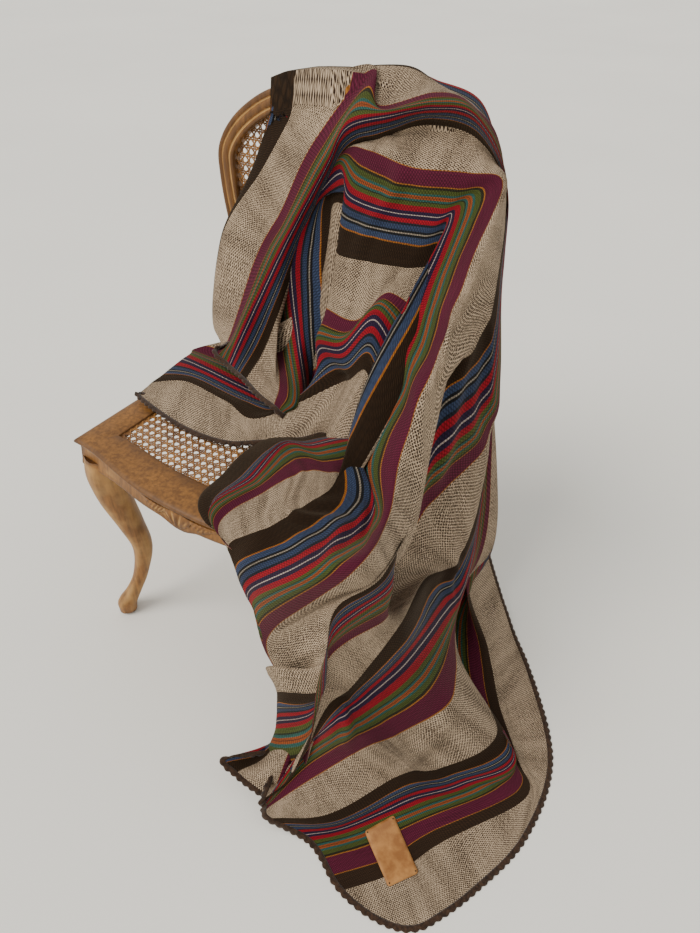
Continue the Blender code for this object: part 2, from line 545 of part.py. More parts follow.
def build_back(root, collection):
    """The chair back: side rails, arched crest, bottom rail, posts and the cane panel."""
    plane = empty("back_plane", collection, root)
    plane.location = (0, BACK_FOOT_Y, SEAT_TOP)
    plane.rotation_euler.x = math.pi / 2 - BACK_RAKE
    middle = -BACK_THICKNESS / 2
    bottom, shoulder = BACK_SIDE[0][1], BACK_SIDE[-1][1]
    side = smooth_through(BACK_SIDE, 10)
    side_inner = side - (BACK_RAIL_WIDTH, 0)
    half_crest = smooth_through(BACK_CREST, 12)
    crest = np.concatenate([half_crest, half_crest[-2::-1] * (-1, 1)])
    spring = np.array((0.0, shoulder))
    shrink = 1 - BACK_RAIL_WIDTH / (crest.max(axis=0) - spring)
    crest_inner = spring + (crest - spring) * shrink
    boards = {"back_crest": [*crest, *crest_inner[::-1]]}
    seam = np.array((1.0, (shoulder - FIT_GAP - bottom) / (shoulder - bottom)))
    lowered = np.array((0.0, bottom))
    for sign, word in ((-1, "left"), (1, "right")):
        rail = np.concatenate([side, side_inner[::-1]])
        rail = lowered + (rail - lowered) * seam
        boards[f"back_rail_{word}"] = list(rail * (sign, 1))
    foot_half = side_inner[0, 0] - FIT_GAP
    foot_top = bottom + BACK_RAIL_WIDTH
    foot_side = smooth_through(side_inner, 40)
    reach = np.interp(foot_top, foot_side[:, 1], foot_side[:, 0]) - FIT_GAP
    boards["back_rail_bottom"] = [(-foot_half, bottom), (foot_half, bottom), (reach, foot_top), (-reach, foot_top)]
    for sign, word in ((-1, "left"), (1, "right")):
        near, far = POST_PLACE - POST_WIDTH / 2, POST_PLACE + POST_WIDTH / 2
        low, high = 0.002, bottom - FIT_GAP
        post = [(near, low), (far, low), (far, high), (near, high)]
        boards[f"back_post_{word}"] = [(sign * x, y) for x, y in post]
    for name, outline in boards.items():
        place(board(name, outline, BACK_THICKNESS, middle), plane, "chair_wood", collection)
    above = side_inner[side_inner[:, 1] > foot_top] - (2 * FIT_GAP, 0)
    opening = [(reach - 2 * FIT_GAP, foot_top + FIT_GAP), *above]
    arch = spring + (crest_inner - spring) * (1 - 2 * FIT_GAP / crest_inner.max(axis=0))
    mirrored = [(-x, y) for x, y in opening[::-1]]
    panel = [*opening, *arch[1:-1], *mirrored]
    place(board("cane_back", panel, CANE_THICKNESS, middle), plane, "cane", collection)


def stand_about_origin(root, collection):
    """Shift the root so that the middle of the footprint of the whole object is the origin."""
    bpy.context.view_layer.update()
    graph = bpy.context.evaluated_depsgraph_get()
    corners = []
    for obj in collection.objects:
        if obj.type == "EMPTY":
            continue
        shape = obj.evaluated_get(graph)
        mesh = shape.to_mesh()
        corners.extend(obj.matrix_world @ vertex.co for vertex in mesh.vertices)
        shape.to_mesh_clear()
    places = np.array(corners)
    middle = (places.min(axis=0) + places.max(axis=0)) / 2
    root.location = (-middle[0], -middle[1], -places[:, 2].min())
    bpy.context.view_layer.update()


def main():
    """Build the chair and the throw, and stand them on the floor about the origin."""
    clear_scene()
    collection = bpy.data.collections.new("throw_on_cane_chair")
    bpy.context.scene.collection.children.link(collection)
    root = empty("throw_on_cane_chair", collection)
    build_seat(root, collection)
    build_legs(root, collection)
    build_back(root, collection)
    build_throw(root, collection)
    stand_about_origin(root, collection)


main()
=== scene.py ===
"""A striped alpaca throw draped over a small cane chair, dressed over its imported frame.

Lengths are in metres. Shapes are given in the chair's own frame, which has its origin on
the floor under the middle of the seat, +X to the right of someone who faces the chair and
+Y towards its back. `ChairFrame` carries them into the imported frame.
"""

import logging
import math
from dataclasses import dataclass
from enum import Enum
from typing import Callable, Iterable, Sequence

import bpy
import numpy as np
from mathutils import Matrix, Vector, noise
from mathutils.bvhtree import BVHTree


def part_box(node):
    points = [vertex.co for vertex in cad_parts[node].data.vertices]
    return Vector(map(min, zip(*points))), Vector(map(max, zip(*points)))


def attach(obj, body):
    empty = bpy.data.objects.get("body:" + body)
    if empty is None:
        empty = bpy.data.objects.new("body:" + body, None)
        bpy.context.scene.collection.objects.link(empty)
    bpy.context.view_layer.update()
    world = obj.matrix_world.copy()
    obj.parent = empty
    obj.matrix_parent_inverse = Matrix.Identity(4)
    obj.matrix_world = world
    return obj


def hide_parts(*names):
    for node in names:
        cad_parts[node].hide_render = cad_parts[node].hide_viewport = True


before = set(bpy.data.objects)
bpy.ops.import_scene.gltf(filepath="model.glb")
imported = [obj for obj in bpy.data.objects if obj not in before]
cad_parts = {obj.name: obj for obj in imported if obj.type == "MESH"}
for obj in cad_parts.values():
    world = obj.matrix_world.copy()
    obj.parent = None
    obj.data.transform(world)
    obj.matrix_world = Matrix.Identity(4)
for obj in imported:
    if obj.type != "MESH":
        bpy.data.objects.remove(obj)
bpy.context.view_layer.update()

log = logging.getLogger("throw_on_cane_chair")

Point = tuple[float, float, float]
Colour = tuple[float, float, float]
Socket = bpy.types.NodeSocket

# Keeps a division away from zero
TINY: float = 1e-9

CM_PER_METRE: float = 100.0


class Hold(Enum):
    """How a sheet is held."""

    DRAPED = "draped"


class Piece(Enum):
    """Names of the pieces that the scene adds."""

    THROW = "throw_cloth"
    EDGING = "throw_edging"
    LABEL = "leather_label"
    FIXINGS = "label_fixings"
    SEAT = "seat_frame"
    SEAT_CANE = "seat_cane"
    CARVING = "apron_carving"
    BACK = "back_frame"
    BACK_CANE = "back_cane"
    FLOOR = "floor"


# Named places along the stripes: the metres of cloth before each
STATIONS: tuple[tuple[str, float], ...] = (
    ("first end", 0.000), ("lower rise", 0.074), ("middle rise", 0.166), ("upper rise", 0.258),
    ("under the rim", 0.351), ("turn", 0.434), ("rim start", 0.498), ("rim middle", 0.572),
    ("rim end", 0.646), ("shoulder", 0.720), ("upper flank", 0.831), ("middle flank", 0.960),
    ("lower flank", 1.071), ("knee", 1.182), ("upper fall", 1.311), ("middle fall", 1.440),
    ("lower fall", 1.569), ("hem turn", 1.689), ("last end", 1.80),
)

# Each row follows one stripe line: its name, the metres of cloth from the front hem, and
# the place of each station in centimetres
FOLDS: tuple[tuple[str, float, tuple[Point, ...]], ...] = (
    ("front hem", 0, (
        (-12, -3, 45.7), (-20, -4.5, 45.7), (-25.5, -6.5, 46.2), (-13, -9, 45.8),
        (-3.5, -8.5, 45.8), (2, -5.5, 46.2), (7.5, -2, 46.8), (10, 1, 46.8), (12, -2, 46.5),
        (15, -3.5, 46.3), (14, -5.5, 46.3), (12, -7, 46.2), (5, -3.5, 46.1), (6, -4.5, 46.2),
        (4.5, -11.5, 46.1), (12.5, -21.5, 46.1), (24, -24, 36), (23, -25.5, 18), (28, -31, 2),
    )),
    ("band 1 brown", 0.091, (
        (-11, 3, 45.7), (-19, 2, 45.7), (-26, -3, 46.4), (-19.5, -0.5, 47.6), (-8.5, -2, 48.2),
        (-0.5, -3, 48.2), (8, 7.5, 52.1), (11.5, 6.5, 54.8), (14.5, 7, 56.8), (19, 2, 49),
        (18, -4, 47.5), (11.5, 1, 47), (7.5, -2, 47), (2.5, -6, 46.8), (2.5, -15, 46.8),
        (6, -24.5, 46), (24, -24, 36), (24, -25.5, 17), (26.5, -34, 2),
    )),
    ("band 1 blue", 0.116, (
        (-10.7, 4.5, 45.7), (-18.4, 3.6, 45.7), (-26, 0.1, 46.6), (-19.2, 1.2, 47.9), (-6, 0, 48.1),
        (1, 0.8, 48.7), (6.1, 8.7, 53.4), (10.3, 7.7, 56), (14.2, 8.5, 59.4), (19.7, 4, 51),
        (18.6, -2.8, 48.2), (13, 0.6, 47.6), (9, -2.9, 47.5), (6.5, -7, 48.6), (6.5, -15.5, 48.2),
        (8, -24.5, 46.6), (24, -24, 36), (24, -25.5, 17), (25.5, -35, 2),
    )),
    ("band 1 green", 0.177, (
        (-10, 8, 45.8), (-17, 7.5, 45.8), (-26, 7.5, 47.2), (-18.5, 5.5, 48.6), (0, 5, 47.8),
        (4.5, 10, 50), (1.5, 11.5, 56.5), (7.5, 10.5, 58.9), (13.5, 12, 65.6), (21.5, 9, 56),
        (20, 0, 50), (16.5, -0.5, 49.2), (12.5, -5, 48.8), (8, -6.5, 48.2), (9, -15.5, 48.4),
        (8, -25, 46.6), (24, -24, 36), (24, -25.5, 17), (25.5, -35.5, 2),
    )),
    ("ground 1", 0.241, (
        (-6, 12, 46), (-13, 13, 46), (-25.5, 11.5, 47.6), (-10, 13, 47.8), (-1, 14, 49),
        (4, 15, 60), (2.5, 13.5, 62.3), (9, 12.5, 62.4), (14.5, 14, 68), (23.5, 13, 62),
        (22, 3, 54), (20, -5.5, 48.7), (18, -8.5, 48.7), (14.5, -10, 48.5), (12, -16.5, 48.2),
        (10, -25.5, 45.6), (24, -24, 36), (24, -25.5, 17), (24.5, -37, 2.8),
    )),
    ("band 2 brown", 0.326, (
        (3, 6, 47), (1, 14, 48.4), (0.5, 17, 58.1), (0, 18.5, 68.4), (0, 19.5, 77.3),
        (5.5, 19, 75.8), (2.5, 16.5, 71), (9.5, 15.5, 71.2), (15.5, 16, 71.5), (22.5, 17, 71.7),
        (23, 10, 62.4), (21.5, -6.5, 48.8), (20.5, -11, 49), (19, -16.5, 49), (16.5, -22.5, 47.8),
        (12, -26, 43.3), (25, -24, 32), (21, -31, 7), (18, -37.5, 5),
    )),
    ("band 2 blue", 0.372, (
        (2, 3, 48.6), (-0.5, 12, 46.9), (-3.5, 15.5, 56.6), (-4.5, 17.5, 68.6), (-2.5, 19, 77),
        (3, 19, 80.4), (3.5, 17.5, 77.9), (10.5, 16.5, 77.3), (18.5, 17, 77.7), (21, 17.5, 77.9),
        (19, 12.5, 70.1), (17, 4.5, 60.5), (17.5, -2, 52), (25, -10, 47.8), (22.5, -22.5, 47.4),
        (14.5, -27, 38.7), (26, -24, 29), (20.5, -30, 7.5), (15.5, -36.5, 6),
    )),
    ("band 2 green", 0.412, (
        (3, -0.5, 49), (3.5, 3.5, 50.2), (-6.5, 15, 53.8), (-8, 16.5, 67), (-4, 18.5, 76.9),
        (1, 19.5, 83.7), (4.5, 18.5, 81), (12, 17.5, 80.4), (20, 18, 80.9), (23, 18, 81),
        (21.5, 13.5, 70.2), (21.5, 5, 58.2), (20, -3, 48.8), (28, -12.5, 47.5), (27, -27, 49.4),
        (16, -27, 35), (26, -24, 26), (23, -26, 9), (24, -28, 4),
    )),
    ("ground 2", 0.477, (
        (1, -0.5, 50), (-1.5, 4.5, 51.5), (-12.5, 18, 50.9), (-9, 18.5, 65.9), (-3.5, 19.5, 79),
        (2, 20, 85.9), (7, 19, 86.8), (15, 18, 85.9), (23.5, 18.5, 86.4), (28.5, 19, 85.7),
        (28, 13, 77.5), (27.5, 6, 66.5), (28, -5, 55), (31, -14, 50.1), (32.5, -25.5, 50.7),
        (17.5, -26, 27.4), (20.5, -25, 13), (24, -26, 7), (25, -29, 3),
    )),
    ("pleat crest", 0.53, (
        (-3, 0.5, 50.4), (-5, 7.5, 52), (-10, 16.5, 55.3), (-7, 18.5, 68.5), (-2.5, 20, 80),
        (2.5, 20.5, 86), (7.5, 20.5, 88), (14, 21, 88.7), (23, 21, 88.8), (28, 21, 85),
        (30, 14, 76.8), (28.5, 5.5, 65.4), (30, 0, 50.3), (32.5, -10, 42.4), (33.5, -22.5, 46.9),
        (28, -26, 41.2), (28.5, -28, 31.5), (19, -28.5, 23.8), (21, -26, 15),
    )),
    ("band 3 brown", 0.562, (
        (-7.5, 2.5, 50.6), (-10.5, 12, 51.4), (-8, 15, 60.5), (-5.5, 18.5, 70.7), (-1, 20, 80.9),
        (3, 20.5, 86.2), (8.5, 21, 88.5), (14.5, 22, 90.6), (22.5, 22, 90), (27.5, 22.5, 84),
        (30.5, 17, 75.1), (30, 15, 64.8), (27, 7.5, 58.3), (30, -3, 44.9), (34, -20, 46.4),
        (30.5, -27, 43.2), (29.5, -28.5, 27.2), (21.5, -29.5, 20.8), (21, -26, 12),
    )),
    ("band 3 green", 0.648, (
        (-13.5, 4.5, 51.2), (-15, 11, 54.7), (-9.5, 14.5, 67.3), (-5.5, 16.5, 75.1), (0, 18, 84.6),
        (3.5, 18.5, 90.5), (10.5, 18.5, 92.5), (17.5, 19, 94.1), (23.5, 19.5, 93.4),
        (28, 21.5, 85.4), (30, 20, 72.4), (32, 17, 52.5), (29, 4, 46.3), (27, -9, 36),
        (35, -19, 43), (30.5, -27.5, 38.1), (28.5, -29.5, 20.5), (21, -30.5, 11.3), (21.5, -27, 8),
    )),
    ("ground 3", 0.713, (
        (-17, 6, 51.8), (-19, 11.5, 51.2), (-14.5, 16.5, 66.9), (-10, 18.5, 74.9), (-4, 20, 86.2),
        (4.5, 23.5, 96.9), (7.5, 20.5, 92.8), (16.5, 20.5, 95.3), (22, 21, 94.2),
        (26.5, 22.5, 88.2), (29, 22, 70.6), (33, 18, 46.2), (29, 3, 37.6), (29, -11, 30),
        (34, -18.5, 35.5), (29.5, -27.5, 31.8), (27.5, -32, 7.5), (19, -33, -0.4), (21.5, -29, 5),
    )),
    ("band 4 brown", 0.798, (
        (-19, 15, 50), (-27.5, 16.5, 49.2), (-24, 18.5, 67.7), (-15, 20, 79.9), (-10, 22, 88.2),
        (-6.5, 24.5, 94.2), (8, 24.5, 97.1), (15.5, 24, 95.6), (22, 24, 92.8), (25.5, 25, 86.1),
        (28, 24, 68), (33, 17, 35.9), (34.5, 6, 26.5), (33, -4, 29.9), (35.5, -17, 33.8),
        (32, -24.5, 24.9), (29, -28.5, 20.7), (26.5, -34, 7.5), (24.5, -38.5, 5.5),
    )),
    ("band 4 blue", 0.823, (
        (-18, 16, 50), (-25.5, 18, 50), (-22.5, 19.5, 67.5), (-17.5, 21, 79.6), (-14, 22.5, 88.2),
        (-11, 24.5, 93.8), (7.7, 25.7, 96.2), (14.5, 25.6, 95), (21.4, 25.6, 92.3),
        (25.2, 25.9, 84.8), (27.9, 24.6, 66.7), (33.3, 16.7, 33.4), (35.1, 6, 24.5),
        (34.2, -2.8, 26.5), (36.5, -16.5, 30.1), (32.5, -24, 23.1), (30.5, -29, 20.5),
        (26.6, -33.3, 8.2), (24.6, -38.6, 5.2),
    )),
    ("band 4 green", 0.884, (
        (-12, 16.5, 50), (-14, 19, 60), (-15, 20, 72), (-9, 22, 81), (-6, 23.5, 86), (-6, 27, 93),
        (7, 28.5, 94), (12, 29.5, 93.5), (20, 29.5, 91), (24.5, 28, 81.6), (27.5, 26, 63.5),
        (34, 16, 27.4), (36.5, 6, 19.6), (37, 0, 18.4), (38, -15, 21.6), (35, -23, 19.6),
        (32.5, -29, 19.5), (27, -31.5, 10), (25, -39, 4.5),
    )),
    ("band 5 brown", 1.033, (
        (0, 17, 50), (-2, 19, 60), (-3, 20, 72), (-1, 21.5, 84), (-3, 23, 88.5), (-1, 28, 93.5),
        (6, 30, 80), (13, 29.5, 76), (20, 29.5, 72), (24.5, 29, 73.6), (27.5, 27, 53.5),
        (36.5, 19, 22), (32.5, 10.5, 9), (38, 3.5, 4), (50.5, -6.5, 3.2), (45, -18.5, 4.5),
        (41, -24, 7), (34, -34, 3.5), (26, -39.5, 2.5),
    )),
    ("band 5 green", 1.12, (
        (6.3, 17.3, 50), (5.4, 19, 60), (3.9, 20.3, 72), (2.7, 21.5, 84), (0, 23, 88.5),
        (2, 28, 93.8), (8.1, 30.3, 72.6), (14.6, 29.8, 66.5), (21.1, 29.5, 61.4), (25.3, 29, 65.4),
        (28.3, 25.9, 45.4), (35.2, 15.6, 18.8), (34.5, 9.5, 5), (40.5, 1, 1.6), (55, -8.5, 2.2),
        (50.5, -17.5, 2.2), (44.5, -25, 2.2), (37.5, -33.5, 0.4), (33, -38, 0.2),
    )),
    ("ground 5", 1.197, (
        (12, 17.5, 50), (12, 19, 60), (10, 20.5, 72), (6, 21.5, 84), (3, 23, 88.5), (5, 28, 94),
        (10, 30.5, 66), (16, 30, 58), (22, 29.5, 52), (26, 29, 58), (29, 25, 38.1), (34, 12.5, 16),
        (41.5, 8, 4), (48, -0.5, 0.6), (54.5, -7.5, 0.5), (58.5, -13, 0.6), (49.5, -27, 0.3),
        (46, -34, 0.2), (40, -41, 0.1),
    )),
    ("back hem", 1.3, (
        (20, 18, 50), (21, 19.5, 60), (18, 20.5, 72), (12, 21.5, 84), (6, 23, 88.5),
        (8, 28.5, 93.8), (13, 31, 56), (18, 31, 46), (24, 31, 40), (27.5, 28, 37.9), (30.5, 23, 28),
        (34, 23, 14), (42.5, 18, 2), (51.5, 8.5, 0.1), (60, -5, 0.1), (61, -19, 0.1),
        (57.5, -30.5, 0.1), (53.5, -38.5, 0.1), (49, -45, 0.1),
    )),
)


def linear(red: float, green: float, blue: float) -> tuple[float, float, float, float]:
    """A colour given from 0 to 255 as it looks on a screen, in linear light.

    Args:
        red: Red part, 0 to 255.
        green: Green part, 0 to 255.
        blue: Blue part, 0 to 255.

    Returns:
        The colour with an opaque fourth part, for a node's socket.
    """
    parts = []
    for value in (red, green, blue):
        c = value / 255
        parts.append(c / 12.92 if c <= 0.04045 else ((c + 0.055) / 1.055) ** 2.4)
    return (parts[0], parts[1], parts[2], 1.0)


class Graph:
    """The nodes of one material."""

    def __init__(self, name: str) -> None:
        """Start a material with its shader.

        Args:
            name: The material's name.
        """
        self.material = bpy.data.materials.new(name)
        self.material.use_nodes = True
        self.tree = self.material.node_tree
        self.shader = self.tree.nodes["Principled BSDF"]

    def feed(self, socket: Socket, value: object) -> None:
        """Link a value to a socket, or set it there if it is a constant.

        Args:
            socket: The socket to feed.
            value: Another node's socket, or a constant.
        """
        if isinstance(value, bpy.types.NodeSocket):
            self.tree.links.new(value, socket)
        else:
            socket.default_value = value

    def node(self, kind: str, inputs: dict | None = None, **settings: object) -> bpy.types.Node:
        """Add a node.

        Args:
            kind: The node's type.
            inputs: Values or sockets for its inputs, by name or number.
            settings: Properties to set on the node.

        Returns:
            The new node.
        """
        made = self.tree.nodes.new(kind)
        for key, value in settings.items():
            setattr(made, key, value)
        for key, value in (inputs or {}).items():
            self.feed(made.inputs[key], value)
        return made

    def place(self) -> Socket:
        """The place of each point of the surface, in metres."""
        return self.node("ShaderNodeNewGeometry").outputs["Position"]

    def math(self, operation: str, a: object, b: object = 0.0, c: object = 0.0) -> Socket:
        """The result of a sum on one, two or three numbers."""
        return self.node("ShaderNodeMath", {0: a, 1: b, 2: c}, operation=operation).outputs[0]

    def mix(self, factor: object, a: object, b: object, blend: str = "MIX") -> Socket:
        """Two colours mixed by a factor."""
        made = self.node("ShaderNodeMix", {0: factor, 6: a, 7: b}, data_type="RGBA", blend_type=blend)
        return made.outputs[2]

    def scaled(self, vector: Socket, x: float, y: float, z: float) -> Socket:
        """A vector with each part multiplied."""
        inputs = {0: vector, 1: (x, y, z)}
        return self.node("ShaderNodeVectorMath", inputs, operation="MULTIPLY").outputs[0]

    def noise(self, vector: Socket, scale: float, detail: float = 2.0) -> Socket:
        """Smooth noise from 0 to 1 at a scale of so many bumps a metre."""
        inputs = {"Vector": vector, "Scale": scale, "Detail": detail}
        return self.node("ShaderNodeTexNoise", inputs).outputs["Fac"]

    def remap(self, value: object, low: float, high: float, to_low: float, to_high: float) -> Socket:
        """A number carried from one range to another, and held inside it."""
        made = self.node("ShaderNodeMapRange", {0: value, 1: low, 2: high, 3: to_low, 4: to_high})
        return made.outputs[0]

    def ramp(self, factor: Socket, stops: Sequence[tuple[float, tuple]], stepped: bool = False) -> Socket:
        """A colour picked from a row of stops.

        Args:
            factor: Where to read the row, 0 to 1.
            stops: Place and colour of each stop.
            stepped: True for hard edges between the stops.

        Returns:
            The colour socket.
        """
        made = self.node("ShaderNodeValToRGB", {0: factor})
        band = made.color_ramp
        band.interpolation = "CONSTANT" if stepped else "LINEAR"
        band.elements[0].position, band.elements[0].color = stops[0]
        band.elements.remove(band.elements[1])
        for place, colour in stops[1:]:
            band.elements.new(place).color = colour
        return made.outputs[0]

    def bump(
        self, height: Socket, distance: float, strength: float = 1.0, below: Socket | None = None
    ) -> Socket:
        """A normal raised by a height.

        Args:
            height: The height, 0 to 1.
            distance: Metres that a height of 1 stands for.
            strength: How much of the slope is used.
            below: The normal that this one is laid over, if there is one.

        Returns:
            The normal's socket.
        """
        inputs = {"Height": height, "Distance": distance, "Strength": strength}
        if below is not None:
            inputs["Normal"] = below
        return self.node("ShaderNodeBump", inputs).outputs[0]

    def dress(self, **inputs: object) -> bpy.types.Material:
        """Feed the shader's inputs.

        Args:
            inputs: Values or sockets by input name, with underscores for its blanks.

        Returns:
            The finished material.
        """
        for key, value in inputs.items():
            self.feed(self.shader.inputs[key.replace("_", " ")], value)
        return self.material


# Finishes


@dataclass(frozen=True)
class StripedWool:
    """The throw's woven cloth: a speckled ground with groups of coloured stripes."""

    first_group: float = 0.0907
    group_pitch: float = 0.2357
    last_band: tuple[float, float] = (1.184, 1.209)
    cell: float = 0.0043
    bands: tuple[tuple[float, Colour], ...] = (
        (0.0249, (44, 29, 15)), (0.0020, (158, 96, 36)),
        (0.0074, (55, 68, 96)), (0.0027, (24, 26, 30)), (0.0024, (142, 132, 118)),
        (0.0027, (24, 26, 30)), (0.0074, (50, 62, 88)), (0.0034, (30, 34, 44)),
        (0.0082, (150, 16, 34)), (0.0073, (40, 26, 54)), (0.0016, (176, 160, 152)),
        (0.0073, (40, 26, 54)), (0.0086, (144, 16, 34)),
        (0.0071, (74, 84, 36)), (0.0027, (38, 50, 34)), (0.0033, (44, 90, 84)),
        (0.0027, (150, 76, 36)), (0.0013, (90, 44, 30)), (0.0027, (150, 76, 36)),
        (0.0033, (44, 90, 84)), (0.0073, (72, 82, 36)), (0.0036, (42, 40, 26)),
        (0.0020, (158, 100, 38)), (0.0267, (90, 26, 50)), (0.0020, (158, 100, 38)),
    )
    ground_light: Colour = (192, 170, 144)
    ground_dark: Colour = (44, 30, 20)

    def material(self) -> bpy.types.Material:
        """Build the cloth's nodes.

        Returns:
            The finished material.
        """
        graph = Graph("striped_wool")
        uv = graph.node("ShaderNodeUVMap", uv_map="cloth").outputs[0]
        parts = graph.node("ShaderNodeSeparateXYZ", {0: uv}).outputs
        across, along = parts[0], parts[1]
        drift = graph.remap(graph.noise(uv, 30.0), 0.0, 1.0, -0.0008, 0.0008)
        across_drift = graph.math("ADD", across, drift)
        in_group = graph.math("SUBTRACT", across_drift, self.first_group)
        turn = graph.math("FRACT", graph.math("DIVIDE", in_group, self.group_pitch))
        ground = self._ground(graph, across, along, uv)
        stops: list[tuple[float, tuple]] = []
        place = 0.0
        for width, colour in self.bands:
            stops.append((place / self.group_pitch, linear(*colour)))
            place += width
        stripes = graph.ramp(turn, stops, stepped=True)
        lit, shade = self._yarn(graph, across, along, uv)
        stripes = graph.mix(lit, graph.mix(1.0, stripes, (0.24, 0.22, 0.21, 1.0), "MULTIPLY"), stripes)
        is_ground = graph.math("GREATER_THAN", turn, place / self.group_pitch)
        low, high = self.last_band
        over = graph.math("GREATER_THAN", across_drift, low)
        under = graph.math("LESS_THAN", across_drift, high)
        extra = graph.math("MULTIPLY", over, under)
        brown = graph.mix(lit, linear(24, 15, 9), linear(50, 34, 21))
        past_last = graph.math("GREATER_THAN", across_drift, high)
        before_first = graph.math("LESS_THAN", across_drift, self.first_group)
        plain = graph.math("MAXIMUM", is_ground, graph.math("MAXIMUM", past_last, before_first))
        colour = graph.mix(plain, stripes, ground)
        colour = graph.mix(extra, colour, brown)
        colour = graph.mix(1.0, colour, shade, "MULTIPLY")
        weave = graph.bump(lit, 0.0009, 0.55)
        fluff = graph.bump(graph.noise(uv, 260.0, 4.0), 0.0016, 0.5, weave)
        return graph.dress(
            Base_Color=colour, Roughness=0.92, Normal=fluff, Sheen_Weight=0.10, Sheen_Roughness=0.45,
            Sheen_Tint=linear(222, 200, 170), Specular_IOR_Level=0.18,
        )

    def _ground(self, graph: Graph, across: Socket, along: Socket, uv: Socket) -> Socket:
        """The speckled ground between the stripes: a small diamond of light and dark yarn.

        Args:
            graph: The cloth's nodes.
            across: Metres across the stripes.
            along: Metres along the stripes.
            uv: Both coordinates.

        Returns:
            The ground's colour.
        """
        lozenge = self._lozenge(graph, across, along)
        melange = graph.noise(graph.scaled(uv, 620.0, 420.0, 1.0), 1.0, 3.0)
        patchy = graph.noise(graph.scaled(uv, 9.0, 34.0, 1.0), 1.0, 3.0)
        level = graph.math("ADD", lozenge, graph.remap(melange, 0.3, 0.7, -0.34, 0.34))
        level = graph.math("ADD", level, graph.remap(patchy, 0.3, 0.7, -0.13, 0.10))
        factor = graph.remap(level, 0.48, 0.98, 0.0, 1.0)
        return graph.mix(factor, linear(*self.ground_dark), linear(*self.ground_light))

    def _lozenge(self, graph: Graph, across: Socket, along: Socket) -> Socket:
        """A diamond twill.

        Args:
            graph: The cloth's nodes.
            across: Metres across the stripes.
            along: Metres along the stripes.

        Returns:
            A level of 1 at the middle of each diamond and 0 between.
        """
        halves = []
        for value, pitch in ((across, self.cell), (along, self.cell * 1.15)):
            saw = graph.math("FRACT", graph.math("DIVIDE", value, pitch))
            halves.append(graph.math("ABSOLUTE", graph.math("SUBTRACT", saw, 0.5)))
        total = graph.math("ADD", halves[0], halves[1])
        return graph.math("PINGPONG", graph.math("MULTIPLY", total, 2.0), 1.0)

    def _yarn(self, graph: Graph, across: Socket, along: Socket, uv: Socket) -> tuple[Socket, Socket]:
        """The twist of the yarn in the stripes, and the cloth's slow changes of shade.

        Args:
            graph: The cloth's nodes.
            across: Metres across the stripes.
            along: Metres along the stripes.
            uv: Both coordinates.

        Returns:
            How lit each thread is, and the shade to multiply the colour by.
        """
        slant = graph.math("ADD", across, graph.math("MULTIPLY", along, 0.9))
        ribs = graph.math("PINGPONG", graph.math("DIVIDE", slant, self.cell * 0.5), 1.0)
        picks = graph.math("PINGPONG", graph.math("DIVIDE", along, self.cell * 0.42), 1.0)
        lit = graph.remap(graph.math("MULTIPLY", ribs, picks), 0.02, 0.45, 0.25, 1.0)
        streaks = graph.noise(graph.scaled(uv, 700.0, 12.0, 1.0), 1.0, 2.0)
        slow = graph.noise(uv, 7.0, 2.0)
        streaky = graph.remap(streaks, 0.25, 0.75, -0.26, 0.26)
        level = graph.math("ADD", streaky, graph.remap(slow, 0.3, 0.7, 0.93, 1.07))
        shade = graph.node("ShaderNodeCombineXYZ", {0: level, 1: level, 2: level}).outputs[0]
        return lit, shade


@dataclass(frozen=True)
class BrownYarn:
    """The thick dark yarn of the crocheted edging."""

    light: Colour = (74, 52, 36)
    dark: Colour = (30, 19, 12)

    def material(self) -> bpy.types.Material:
        """Build the yarn's nodes.

        Returns:
            The finished material.
        """
        graph = Graph("brown_yarn")
        place = graph.place()
        hair = graph.noise(graph.scaled(place, 900.0, 900.0, 900.0), 1.0, 3.0)
        lumps = graph.noise(place, 190.0, 2.0)
        level = graph.remap(graph.math("MULTIPLY", hair, lumps), 0.12, 0.42, 0.0, 1.0)
        colour = graph.mix(level, linear(*self.dark), linear(*self.light))
        return graph.dress(
            Base_Color=colour, Roughness=0.88, Normal=graph.bump(hair, 0.0008, 0.7), Sheen_Weight=0.25,
            Specular_IOR_Level=0.2,
        )


@dataclass(frozen=True)
class TanLeather:
    """The patch's tan leather, with a fine grain."""

    light: Colour = (186, 132, 74)
    dark: Colour = (142, 92, 46)

    def material(self) -> bpy.types.Material:
        """Build the leather's nodes.

        Returns:
            The finished material.
        """
        graph = Graph("tan_leather")
        place = graph.place()
        cloudy = graph.noise(place, 60.0, 4.0)
        pores = graph.node("ShaderNodeTexVoronoi", {"Vector": place, "Scale": 900.0}).outputs["Distance"]
        level = graph.remap(cloudy, 0.35, 0.7, 0.0, 1.0)
        colour = graph.mix(level, linear(*self.dark), linear(*self.light))
        return graph.dress(
            Base_Color=colour, Roughness=graph.remap(cloudy, 0.3, 0.7, 0.48, 0.62),
            Normal=graph.bump(pores, 0.0003, 0.5), Specular_IOR_Level=0.35,
        )


